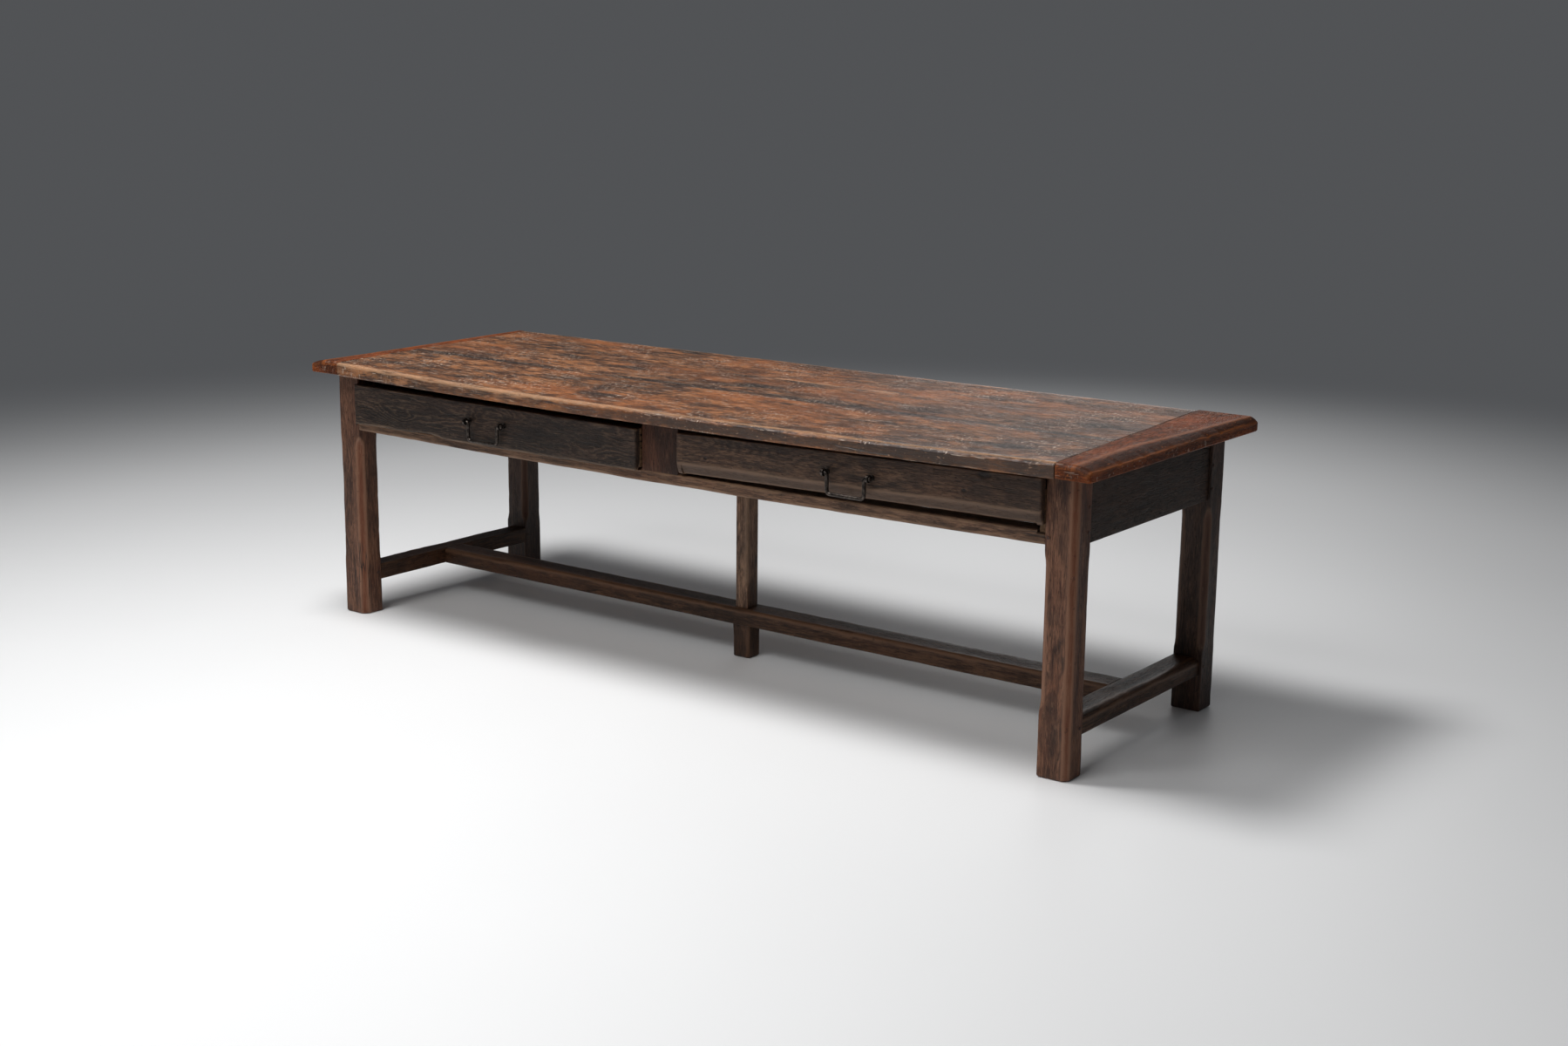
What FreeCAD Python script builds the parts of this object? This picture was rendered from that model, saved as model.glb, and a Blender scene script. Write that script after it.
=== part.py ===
import FreeCAD, Part
import os
from FreeCAD import Vector

# Oak farmhouse table with two drawers.
# Millimetres. X runs along the table, -Y is the drawer side, +Z is up.
# The origin is the centre of the table's base, on the floor.

# Top
table_height = 760.0
top_length = 2570.0
top_width = 860.0
top_thickness = 38.0
front_board_width = 310.0
back_board_width = 280.0
left_cap_width = 76.0
right_cap_width = 127.0
end_cut_skew = 72.0
worn_edge_radius = 12.0
cap_corner_radius = 7.0
under_edge_chamfer = 3.0
top_tenon_length = 26.0
top_tenon_thickness = 12.0
top_tenon_inset = 40.0

# Frame
end_overhang = 58.0
side_overhang = 53.0
leg_width = 80.0
leg_depth = 68.0
leg_chamfer = 13.0
small_chamfer = 4.0
chamfer_stop = 22.0
chamfer_tip = 0.2
chamfer_margin = 14.0
apron_height = 166.0
apron_thickness = 28.0
setback = 7.0
drawer_opening_height = 140.0
rail_height = 30.0
divider_width = 122.0
divider_thickness = 28.0
bearer_width = 190.0
kicker_thickness = 30.0
kicker_reach = 47.0
runner_thickness = 26.0
guide_height = 30.0

# Stretchers, middle post and middle foot
stretcher_bottom = 97.0
stretcher_thickness = 46.0
long_stretcher_width = 80.0
long_stretcher_y = -6.0
post_width = 40.0
post_depth = 48.0
foot_width = 52.0
foot_depth = 50.0

# Tenons and pegs
tenon_length = 38.0
tenon_thickness = 12.0
tenon_shoulder = 8.0
short_tenon_length = 16.0
mortise_gap = 0.2
mortise_end_gap = 1.0
peg_radius = 4.0
top_peg_radius = 6.0
top_peg_bite = 24.0
peg_gap = 0.1
peg_edge = 9.0
stretcher_peg_edge = 14.0
peg_spacing = 60.0
apron_peg_drop = 24.0
rail_peg_drop = 8.0
rail_tenon_shoulder = 2.5

# Drawers
drawer_side_gap = 6.0
drawer_proud = 20.0
room_behind_drawer = 139.0
drawer_side_height = 104.0
front_thickness = 30.0
front_rebate = 12.0
side_thickness = 16.0
back_thickness = 14.0
bottom_thickness = 9.0
bottom_height = 28.0
bottom_groove = 6.0
side_toe_length = 40.0
slide_gap = 0.3
nail_radius = 1.6
nail_head_radius = 3.2
nail_head_thickness = 1.2
nail_length = 34.0

# Bail pulls
rod_radius = 5.0
bail_spread = 110.0
bail_drop = 52.0
bail_end = 17.0
bail_end_bend = 8.0
bail_corner_bend = 11.0
pull_standoff = 16.0
eye_thickness = 6.0
eye_wall = 4.2
eye_gap = 0.3
shank_radius = 4.0
collar_radius = 8.0
collar_thickness = 2.0
rove_radius = 9.0
rove_thickness = 3.0
rivet_height = 1.5

# Heights of the nails, as shares of the drawer side above the bottom
NAIL_ROWS = (0.2, 0.5, 0.8)

# Each drawer front is a little out of square, as it was cut by hand.
# lift: height of the lower edge above the rail at the left and right end.
# drop: depth of the upper edge below the top at the left and right end.
# bevel: height and depth of the bevel on the lower edge.
# pull: the bail's place, sideways from the front's middle and below the top.
DRAWERS = {
    "left": {"side": -1, "shift": 0.0, "lift": (2.0, 1.5), "drop": (27.0, 34.0),
             "bevel": (5.0, 5.0), "pull": (-2.0, 81.0)},
    "right": {"side": 1, "shift": 4.0, "lift": (3.0, 22.0), "drop": (28.0, 8.0),
              "bevel": (27.0, 20.0), "pull": (6.0, 68.0)},
}

# Places worked out from the sizes
half_length = top_length / 2
half_width = top_width / 2
under_top = table_height - top_thickness
frame_x = half_length - end_overhang
frame_y = half_width - side_overhang
leg_in_x = frame_x - leg_width
leg_in_y = frame_y - leg_depth
apron_bottom = under_top - apron_height
apron_out_x = frame_x - setback
apron_in_x = apron_out_x - apron_thickness
apron_out_y = frame_y - setback
apron_in_y = apron_out_y - apron_thickness
rail_top = under_top - drawer_opening_height
rail_bottom = rail_top - rail_height
stretcher_top = stretcher_bottom + stretcher_thickness
divider_in_y = -frame_y + divider_thickness
kicker_bottom = under_top - kicker_thickness
kicker_in_x = leg_in_x - kicker_reach
seam_front = -half_width + front_board_width
seam_back = half_width - back_board_width
face_y = -frame_y - drawer_proud
front_back_y = face_y + front_thickness
drawer_end_y = apron_in_y - room_behind_drawer
side_bottom = rail_top + slide_gap
side_top = side_bottom + drawer_side_height
panel_bottom = rail_top + bottom_height
panel_top = panel_bottom + bottom_thickness
pivot_y = face_y - pull_standoff

X = Vector(1, 0, 0)
Y = Vector(0, 1, 0)
Z = Vector(0, 0, 1)


def span(xs, ys, zs):
    """A box between two X, two Y and two Z values, given in any order."""
    low = [min(pair) for pair in (xs, ys, zs)]
    size = [abs(pair[1] - pair[0]) for pair in (xs, ys, zs)]
    return Part.makeBox(size[0], size[1], size[2], Vector(*low))


def grown(xs, ys, zs, end=None):
    """The mortise for a tenon box: its cheeks are eased, and the named axis also at its ends."""
    eased = []
    for axis, pair in zip("xyz", (xs, ys, zs)):
        ease = mortise_end_gap if axis == end else mortise_gap
        eased.append((min(pair) - ease, max(pair) + ease))
    return span(*eased)


def plan(points, bottom, top):
    """A prism over an outline in plan."""
    ring = [Vector(x, y, bottom) for x, y in points]
    face = Part.Face(Part.makePolygon(ring + ring[:1]))
    return face.extrude(Vector(0, 0, top - bottom))


def rod(start, axis, length, radius):
    return Part.makeCylinder(radius, length, start, axis)


def between(first, second):
    """The straight-sided solid between two outlines with as many corners."""
    wires = [Part.makePolygon([Vector(*p) for p in ring + ring[:1]]) for ring in (first, second)]
    return Part.makeLoft(wires, True, True)


def cut_all(shape, cutters):
    return shape.cut(cutters) if cutters else shape


def join(shape, others):
    return shape.fuse(others).removeSplitter()


def edges_at(shape, test):
    """Straight edges of which both ends pass the test."""
    found = []
    for edge in shape.Edges:
        if len(edge.Vertexes) == 2 and all(test(v.Point) for v in edge.Vertexes):
            found.append(edge)
    return found


def near(a, b):
    return abs(a - b) < 0.01


def save(name, *solids):
    shape = solids[0] if len(solids) == 1 else Part.makeCompound(solids)
    shape.exportStep("parts/" + name + ".step")


# Pegs: each is a place, a direction, a length and a radius

def peg_solid(peg):
    start, axis, length, radius = peg
    return rod(start, axis, length, radius)


def peg_hole(peg):
    start, axis, length, radius = peg
    return rod(start, axis, length + peg_gap, radius + peg_gap)


def apron_peg_places():
    depth = frame_x - apron_in_x + peg_radius
    middle = apron_bottom + apron_height / 2 - apron_peg_drop
    pegs = []
    for sx in (-1, 1):
        for sy in (-1, 1):
            for up in (-0.5, 0.5):
                at = Vector(sx * frame_x, sy * (leg_in_y + peg_edge), middle + up * peg_spacing)
                pegs.append((at, X * -sx, depth, peg_radius))
    return pegs


def back_apron_peg_places():
    depth = frame_y - apron_in_y + peg_radius
    middle = apron_bottom + apron_height / 2 - apron_peg_drop
    pegs = []
    for sx in (-1, 1):
        for up in (-0.5, 0.5):
            at = Vector(sx * (leg_in_x + peg_edge), frame_y, middle + up * peg_spacing)
            pegs.append((at, Y * -1, depth, peg_radius))
    return pegs


def rail_tenon_y():
    middle = -frame_y + leg_depth / 2
    return (middle - tenon_thickness / 2, middle + tenon_thickness / 2)


def rail_peg_places():
    depth = frame_y + rail_tenon_y()[1] + peg_radius
    pegs = []
    for sx in (-1, 1):
        at = Vector(sx * (leg_in_x + peg_edge), -frame_y, rail_top - rail_peg_drop)
        pegs.append((at, Y, depth, peg_radius))
    return pegs


def stretcher_peg_places():
    y = leg_in_y + stretcher_peg_edge
    z = stretcher_bottom + stretcher_thickness / 2
    pegs = []
    for sx in (-1, 1):
        for sy in (-1, 1):
            at = Vector(sx * frame_x, sy * y, z)
            pegs.append((at, X * -sx, leg_width, peg_radius))
    return pegs


def top_peg_places():
    """Pegs through the top boards into the kickers, the top bearer and the back apron."""
    over_kicker = kicker_in_x + kicker_reach / 2
    across = leg_in_y - tenon_length - peg_spacing
    spots = [(x, y) for x in (-over_kicker, 0.0, over_kicker) for y in (-across, across)]
    spots += [(sx * leg_in_x / 2, apron_in_y + apron_thickness / 2) for sx in (-1, 1)]
    start = table_height - top_thickness - top_peg_bite
    return [(Vector(x, y, start), Z, top_thickness + top_peg_bite, top_peg_radius) for x, y in spots]


# Top boards and breadboard ends, cut to the same skewed joint lines

def joint_x(side, y):
    middle = half_length - right_cap_width if side > 0 else left_cap_width - half_length
    return middle - end_cut_skew * y / top_width


BOARDS = {
    "front": (-half_width, seam_front),
    "middle": (seam_front, seam_back),
    "back": (seam_back, half_width),
}
tenon_low = table_height - top_thickness / 2 - top_tenon_thickness / 2
tenon_high = tenon_low + top_tenon_thickness


def board_tenon(side, low_y, high_y, ease, end):
    """The tenon at one end of a top board, or its mortise when it is eased."""
    y0 = low_y + top_tenon_inset - ease
    y1 = high_y - top_tenon_inset + ease
    reach = side * (top_tenon_length + end)
    points = [(joint_x(side, y0), y0), (joint_x(side, y0) + reach, y0),
              (joint_x(side, y1) + reach, y1), (joint_x(side, y1), y1)]
    return plan(points, tenon_low - ease, tenon_high + ease)


def cap_peg_places():
    pegs = []
    for side in (-1, 1):
        for low_y, high_y in BOARDS.values():
            y = (low_y + high_y) / 2
            x = joint_x(side, y) + side * top_tenon_length / 2
            pegs.append((Vector(x, y, under_top), Z, top_thickness, top_peg_radius))
    return pegs


def eased_edges(shape, on_rim):
    """Wear the upper rim round and take the arris off the lower one."""
    upper = edges_at(shape, lambda p: near(p.z, table_height) and on_rim(p))
    shape = shape.makeFillet(worn_edge_radius, upper)
    lower = edges_at(shape, lambda p: near(p.z, under_top) and on_rim(p))
    return shape.makeChamfer(under_edge_chamfer, lower)


def top_board(low_y, high_y):
    points = [(joint_x(-1, low_y), low_y), (joint_x(1, low_y), low_y),
              (joint_x(1, high_y), high_y), (joint_x(-1, high_y), high_y)]
    board = plan(points, under_top, table_height)
    for rim in (-half_width, half_width):
        if rim in (low_y, high_y):
            board = eased_edges(board, lambda p: near(p.y, rim))
    board = join(board, [board_tenon(side, low_y, high_y, 0.0, 0.0) for side in (-1, 1)])
    holes = [peg_hole(p) for p in top_peg_places() + cap_peg_places()]
    return cut_all(board, holes)


def breadboard(side):
    rim_x = side * half_length
    points = [(joint_x(side, -half_width), -half_width), (rim_x, -half_width),
              (rim_x, half_width), (joint_x(side, half_width), half_width)]
    cap = plan(points, under_top, table_height)
    corners = edges_at(cap, lambda p: near(p.x, rim_x))
    cap = cap.makeFillet(cap_corner_radius, [e for e in corners if near(e.Length, top_thickness)])
    cap = eased_edges(cap, lambda p: abs(p.y) > half_width - 0.01 or abs(p.x - rim_x) < cap_corner_radius)
    cutters = [board_tenon(side, low, high, mortise_gap, mortise_end_gap) for low, high in BOARDS.values()]
    cutters += [peg_hole(p) for p in cap_peg_places()]
    return cut_all(cap, cutters)


# Legs

def chamfer_cutter(corner_x, corner_y, in_x, in_y, size, low, high, low_stop, high_stop):
    """A chamfer along a leg's upright edge, drawn out to a point where it stops."""
    def ring(z, width):
        return [(corner_x, corner_y, z), (corner_x + in_x * width, corner_y, z),
                (corner_x, corner_y + in_y * width, z)]

    start = low + (chamfer_stop if low_stop else 0.0)
    end = high - (chamfer_stop if high_stop else 0.0)
    run = between(ring(start, size), ring(end, size))
    parts = []
    if low_stop:
        parts.append(between(ring(low, chamfer_tip), ring(start, size)))
    if high_stop:
        parts.append(between(ring(end, size), ring(high, chamfer_tip)))
    return [run] + parts


def leg_chamfers(sx, sy):
    """Right-hand front and left-hand back edges have the broad chamfer, the others a slight one.

    The front legs' broad front chamfer runs to the floor; the other chamfers stop at the joints.
    """
    above = stretcher_top + chamfer_margin
    below = min(apron_bottom, rail_bottom) - chamfer_margin
    cutters = []
    for edge_x, in_x in ((sx * leg_in_x, sx), (sx * frame_x, -sx)):
        for edge_y, in_y in ((sy * leg_in_y, sy), (sy * frame_y, -sy)):
            low, high, low_stop, high_stop = above, below, True, True
            right = in_x < 0
            front = in_y > 0
            size = leg_chamfer if right == front else small_chamfer
            if right and front and sy < 0:
                low, low_stop = 0.0, False
            if right and front and sy < 0 and sx > 0:
                high, high_stop = under_top, False
            cutters += chamfer_cutter(edge_x, edge_y, in_x, in_y, size, low, high, low_stop, high_stop)
    return cutters


def leg(sx, sy):
    post = span((sx * leg_in_x, sx * frame_x), (sy * leg_in_y, sy * frame_y), (0, under_top))
    mortises = [grown(*end_apron_tenon(sx, sy), end="y"), grown(*end_stretcher_tenon(sx, sy), end="y")]
    if sy > 0:
        mortises.append(grown(*back_apron_tenon(sx), end="x"))
    else:
        mortises.append(grown(*rail_tenon(sx), end="x"))
    pegs = apron_peg_places() + back_apron_peg_places() + rail_peg_places() + stretcher_peg_places()
    return cut_all(post, leg_chamfers(sx, sy) + mortises + [peg_hole(p) for p in pegs])


# Aprons and drawer rail

def end_apron_tenon(sx, sy):
    middle = sx * (apron_in_x + apron_out_x) / 2
    return ((middle - tenon_thickness / 2, middle + tenon_thickness / 2),
            (sy * leg_in_y, sy * (leg_in_y + tenon_length)),
            (apron_bottom + 2 * tenon_shoulder, under_top - 2 * tenon_shoulder))


def back_apron_tenon(sx):
    middle = (apron_in_y + apron_out_y) / 2
    return ((sx * leg_in_x, sx * (leg_in_x + tenon_length)),
            (middle - tenon_thickness / 2, middle + tenon_thickness / 2),
            (apron_bottom + 2 * tenon_shoulder, under_top - 2 * tenon_shoulder))


def rail_tenon(sx):
    return ((sx * leg_in_x, sx * (leg_in_x + tenon_length)), rail_tenon_y(),
            (rail_bottom + rail_tenon_shoulder, rail_top - rail_tenon_shoulder))


def end_apron(sx):
    board = span((sx * apron_in_x, sx * apron_out_x), (-leg_in_y, leg_in_y), (apron_bottom, under_top))
    board = join(board, [span(*end_apron_tenon(sx, sy)) for sy in (-1, 1)])
    return cut_all(board, [peg_hole(p) for p in apron_peg_places()])


def back_apron():
    board = span((-leg_in_x, leg_in_x), (apron_in_y, apron_out_y), (apron_bottom, under_top))
    board = join(board, [span(*back_apron_tenon(sx)) for sx in (-1, 1)])
    cutters = [peg_hole(p) for p in back_apron_peg_places() + top_peg_places()]
    cutters += [grown(*middle_bearer_tenon(1), end="y"), grown(*top_bearer_tenon(1), end="y")]
    return cut_all(board, cutters)


def drawer_rail():
    board = span((-leg_in_x, leg_in_x), (-frame_y, -leg_in_y), (rail_bottom, rail_top))
    board = join(board, [span(*rail_tenon(sx)) for sx in (-1, 1)])
    cutters = [peg_hole(p) for p in rail_peg_places()]
    cutters += [grown(*divider_tenon(), end="z"), grown(*middle_bearer_tenon(-1), end="y")]
    return cut_all(board, cutters)


def divider_tenon():
    middle = -frame_y + divider_thickness / 2
    return ((-divider_width / 4, divider_width / 4),
            (middle - tenon_thickness / 2, middle + tenon_thickness / 2),
            (rail_top - short_tenon_length, rail_top))


def drawer_divider():
    board = span((-divider_width / 2, divider_width / 2), (-frame_y, divider_in_y), (rail_top, under_top))
    board = join(board, [span(*divider_tenon())])
    return cut_all(board, [grown(*top_bearer_tenon(-1), end="y")])


# What carries and guides the drawers

def middle_bearer_tenon(sy):
    middle = rail_bottom + rail_height / 2
    at = apron_in_y if sy > 0 else -leg_in_y
    return ((-bearer_width / 2 + tenon_shoulder, bearer_width / 2 - tenon_shoulder),
            (at, at + sy * short_tenon_length),
            (middle - tenon_thickness / 2, middle + tenon_thickness / 2))


def middle_bearer():
    board = span((-bearer_width / 2, bearer_width / 2), (-leg_in_y, apron_in_y), (rail_bottom, rail_top))
    board = join(board, [span(*middle_bearer_tenon(sy)) for sy in (-1, 1)])
    return cut_all(board, [grown(*post_tenon(rail_bottom, 1), end="z")])


def top_bearer_tenon(sy):
    middle = under_top - kicker_thickness / 2
    at = apron_in_y if sy > 0 else divider_in_y
    return ((-divider_width / 4, divider_width / 4),
            (at, at + sy * short_tenon_length),
            (middle - tenon_thickness / 2, middle + tenon_thickness / 2))


def top_bearer():
    half = bearer_width / 2
    board = span((-half, half), (divider_in_y, apron_in_y), (kicker_bottom, under_top))
    board = join(board, [span(*top_bearer_tenon(sy)) for sy in (-1, 1)])
    return cut_all(board, [peg_hole(p) for p in top_peg_places()])


def runner(sx):
    return span((sx * kicker_in_x, sx * apron_in_x), (-leg_in_y, leg_in_y),
                (rail_top - runner_thickness, rail_top))


def guide(sx):
    return span((sx * leg_in_x, sx * apron_in_x), (-leg_in_y, leg_in_y), (rail_top, rail_top + guide_height))


def middle_guide():
    half = divider_width / 2
    return span((-half, half), (divider_in_y, apron_in_y), (rail_top, rail_top + guide_height))


def kicker(sx):
    board = span((sx * kicker_in_x, sx * apron_in_x), (-leg_in_y, leg_in_y), (kicker_bottom, under_top))
    return cut_all(board, [peg_hole(p) for p in top_peg_places()])


# Stretchers, middle post and middle foot

def end_stretcher_tenon(sx, sy):
    middle = sx * (leg_in_x + apron_out_x) / 2
    return ((middle - tenon_thickness, middle + tenon_thickness),
            (sy * leg_in_y, sy * (leg_in_y + tenon_length)),
            (stretcher_bottom + tenon_shoulder, stretcher_top - tenon_shoulder))


def long_stretcher_tenon(sx):
    middle = stretcher_bottom + stretcher_thickness / 2
    half = long_stretcher_width / 2 - 2 * tenon_shoulder
    return ((sx * leg_in_x, sx * (leg_in_x + tenon_length)),
            (long_stretcher_y - half, long_stretcher_y + half),
            (middle - tenon_thickness / 2, middle + tenon_thickness / 2))


def end_stretcher(sx):
    board = span((sx * leg_in_x, sx * apron_out_x), (-leg_in_y, leg_in_y), (stretcher_bottom, stretcher_top))
    board = join(board, [span(*end_stretcher_tenon(sx, sy)) for sy in (-1, 1)])
    cutters = [peg_hole(p) for p in stretcher_peg_places()]
    return cut_all(board, cutters + [grown(*long_stretcher_tenon(sx), end="x")])


def long_stretcher():
    half = long_stretcher_width / 2
    board = span((-leg_in_x, leg_in_x), (long_stretcher_y - half, long_stretcher_y + half),
                 (stretcher_bottom, stretcher_top))
    board = join(board, [span(*long_stretcher_tenon(sx)) for sx in (-1, 1)])
    return cut_all(board, [grown(*post_tenon(stretcher_top, -1), end="z"),
                           grown(*post_tenon(stretcher_bottom, 1), end="z")])


def post_tenon(z, up):
    """The square tenon where the post or the foot enters a board at this height."""
    half = tenon_thickness
    return ((-half, half), (long_stretcher_y - half, long_stretcher_y + half),
            (z, z + up * short_tenon_length))


def upright(width, depth, low, high):
    half = depth / 2
    return span((-width / 2, width / 2), (long_stretcher_y - half, long_stretcher_y + half), (low, high))


def middle_post():
    post = upright(post_width, post_depth, stretcher_top, rail_bottom)
    return join(post, [span(*post_tenon(stretcher_top, -1)), span(*post_tenon(rail_bottom, 1))])


def middle_foot():
    foot = upright(foot_width, foot_depth, 0, stretcher_bottom)
    return join(foot, [span(*post_tenon(stretcher_bottom, 1))])


# Drawers

def drawer_ends(spec):
    """The X of a drawer's left and right end."""
    inner = divider_width / 2 + drawer_side_gap
    outer = leg_in_x - drawer_side_gap
    return tuple(sorted((spec["side"] * inner + spec["shift"], spec["side"] * outer + spec["shift"])))


def front_edge_z(spec, x, upper):
    """The height of a drawer front's upper or lower edge at this X."""
    left, right = drawer_ends(spec)
    part = (x - left) / (right - left)
    if upper:
        return under_top - (spec["drop"][0] * (1 - part) + spec["drop"][1] * part)
    return rail_top + spec["lift"][0] * (1 - part) + spec["lift"][1] * part


def pull_centre(spec):
    left, right = drawer_ends(spec)
    return Vector((left + right) / 2 + spec["pull"][0], pivot_y, under_top - spec["pull"][1])


def eye_offset():
    """From the pull's middle to the middle of each eye."""
    return bail_spread / 2 + bail_end_bend + eye_thickness / 2


def shank(spec, sx, radius):
    centre = pull_centre(spec)
    start = Vector(centre.x + sx * eye_offset(), face_y, centre.z)
    return rod(start, Y, front_thickness + rove_thickness + rivet_height, radius)


def nail_places(spec):
    """Nails through both sides into the front's rebates and into the back's ends."""
    left, right = drawer_ends(spec)
    front_y = front_back_y - front_rebate / 2
    back_y = drawer_end_y - back_thickness / 2
    low = panel_top + nail_head_radius
    high = side_top - 2 * nail_head_radius
    places = []
    for x, inward in ((left, X), (right, X * -1)):
        for y in (front_y, back_y):
            for up in NAIL_ROWS:
                places.append((Vector(x, y, low + (high - low) * up), inward))
    return places


def nail(place, ease=0.0):
    at, inward = place
    head = rod(at, inward, nail_head_thickness + ease, nail_head_radius + ease)
    return head.fuse(rod(at, inward, nail_length + ease, nail_radius + ease)).removeSplitter()


def nail_holes(spec):
    return [nail(place, peg_gap) for place in nail_places(spec)]


def bottom_panel_span(spec, ease):
    left, right = drawer_ends(spec)
    reach = side_thickness - bottom_groove - ease
    return ((left + reach, right - reach), (front_back_y - bottom_groove - ease, drawer_end_y + ease),
            (panel_bottom - ease, panel_top + ease))


def drawer_front(spec):
    left, right = drawer_ends(spec)
    corners = [(x, front_edge_z(spec, x, upper)) for x, upper in
               ((left, False), (right, False), (right, True), (left, True))]
    ring = [Vector(x, face_y, z) for x, z in corners]
    board = Part.Face(Part.makePolygon(ring + ring[:1])).extrude(Vector(0, front_thickness, 0))
    high, deep = spec["bevel"]
    wedge = [[(x, face_y, front_edge_z(spec, x, False)), (x, face_y, front_edge_z(spec, x, False) + high),
              (x, face_y + deep, front_edge_z(spec, x, False))] for x in (left, right)]
    cutters = [between(*wedge), span(*bottom_panel_span(spec, mortise_gap))]
    for end, inward in ((left, 1), (right, -1)):
        cutters.append(span((end, end + inward * side_thickness), (front_back_y - front_rebate, front_back_y),
                            (rail_top, under_top)))
    cutters += [shank(spec, sx, shank_radius + peg_gap) for sx in (-1, 1)]
    return cut_all(board, cutters + nail_holes(spec))


def drawer_side(spec, end, inward):
    board = span((end, end + inward * side_thickness), (front_back_y - front_rebate, drawer_end_y),
                 (side_bottom, side_top))
    toe = span((end, end + inward * side_thickness),
               (front_back_y - front_rebate, front_back_y - front_rebate + side_toe_length),
               (side_bottom, max(front_edge_z(spec, end, False), side_bottom + slide_gap)))
    return cut_all(board, [toe, span(*bottom_panel_span(spec, mortise_gap))] + nail_holes(spec))


def drawer_back(spec):
    left, right = drawer_ends(spec)
    board = span((left + side_thickness, right - side_thickness),
                 (drawer_end_y - back_thickness, drawer_end_y), (panel_top, side_top))
    return cut_all(board, nail_holes(spec))


def drawer_bottom(spec):
    return span(*bottom_panel_span(spec, 0.0))


# Bail pulls and the eye pins that they hang in

def eye_pin(spec, sx):
    centre = pull_centre(spec)
    x = centre.x + sx * eye_offset() - eye_thickness / 2
    hole = rod_radius + eye_gap
    ring = rod(Vector(x, centre.y, centre.z), X, eye_thickness, hole + eye_wall)
    middle = Vector(centre.x + sx * eye_offset(), 0, centre.z)
    neck = rod(middle + Y * centre.y, Y, pull_standoff, shank_radius)
    collar = rod(middle + Y * (face_y - collar_thickness), Y, collar_thickness, collar_radius)
    pin = join(ring, [neck, collar, shank(spec, sx, shank_radius)])
    return pin.cut(rod(Vector(x - eye_thickness, centre.y, centre.z), X, 3 * eye_thickness, hole))


def rove(spec, sx):
    centre = pull_centre(spec)
    at = Vector(centre.x + sx * eye_offset(), front_back_y, centre.z)
    washer = rod(at, Y, rove_thickness, rove_radius)
    return washer.cut(rod(at, Y, rove_thickness, shank_radius + peg_gap))


def bent_path(points, bends):
    """Straight runs through the points, with an arc of the given radius at each inner point."""
    edges = []
    last = points[0]
    for before, corner, after, bend in zip(points, points[1:], points[2:], bends):
        inward = (before - corner).normalize()
        outward = (after - corner).normalize()
        start = corner + inward * bend
        end = corner + outward * bend
        centre = corner + (inward + outward) * bend
        middle = centre - (inward + outward).normalize() * bend
        edges += [Part.LineSegment(last, start).toShape(), Part.Arc(start, middle, end).toShape()]
        last = end
    edges.append(Part.LineSegment(last, points[-1]).toShape())
    return Part.Wire(edges)


def bail(spec):
    centre = pull_centre(spec)
    half = bail_spread / 2
    places = [(-half - bail_end, 0), (-half, 0), (-half, -bail_drop),
              (half, -bail_drop), (half, 0), (half + bail_end, 0)]
    points = [centre + Vector(x, 0, z) for x, z in places]
    path = bent_path(points, (bail_end_bend, bail_corner_bend, bail_corner_bend, bail_end_bend))
    section = Part.Wire(Part.makeCircle(rod_radius, points[0], X))
    return path.makePipeShell([section], True, False)


# Build every piece and write it out

os.makedirs("parts", exist_ok=True)

for name, (low_y, high_y) in BOARDS.items():
    save("top_board_" + name, top_board(low_y, high_y))
for name, sx in (("left", -1), ("right", 1)):
    save("breadboard_" + name, breadboard(sx))
    save("apron_" + name, end_apron(sx))
    save("runner_" + name, runner(sx))
    save("guide_" + name, guide(sx))
    save("kicker_" + name, kicker(sx))
    save("stretcher_" + name, end_stretcher(sx))
    for place, sy in (("front", -1), ("back", 1)):
        save("leg_" + place + "_" + name, leg(sx, sy))
save("apron_back", back_apron())
save("drawer_rail", drawer_rail())
save("drawer_divider", drawer_divider())
save("middle_bearer", middle_bearer())
save("top_bearer", top_bearer())
save("guide_middle", middle_guide())
save("stretcher_long", long_stretcher())
save("middle_post", middle_post())
save("middle_foot", middle_foot())
save("breadboard_pegs", *[peg_solid(p) for p in cap_peg_places()])
save("top_pegs", *[peg_solid(p) for p in top_peg_places()])
save("apron_pegs", *[peg_solid(p) for p in apron_peg_places() + back_apron_peg_places()])
save("rail_pegs", *[peg_solid(p) for p in rail_peg_places()])
save("stretcher_pegs", *[peg_solid(p) for p in stretcher_peg_places()])

for name, spec in DRAWERS.items():
    left_end, right_end = drawer_ends(spec)
    prefix = "drawer_" + name + "_"
    save(prefix + "front", drawer_front(spec))
    save(prefix + "side_left", drawer_side(spec, left_end, 1))
    save(prefix + "side_right", drawer_side(spec, right_end, -1))
    save(prefix + "back", drawer_back(spec))
    save(prefix + "bottom", drawer_bottom(spec))
    save(prefix + "nails", *[nail(place) for place in nail_places(spec)])
    save(prefix + "eyes", *[eye_pin(spec, sx) for sx in (-1, 1)])
    save(prefix + "roves", *[rove(spec, sx) for sx in (-1, 1)])
    save("bail_" + name, bail(spec))
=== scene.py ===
import math

import bmesh
import bpy
from mathutils import Matrix, Vector, noise


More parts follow.
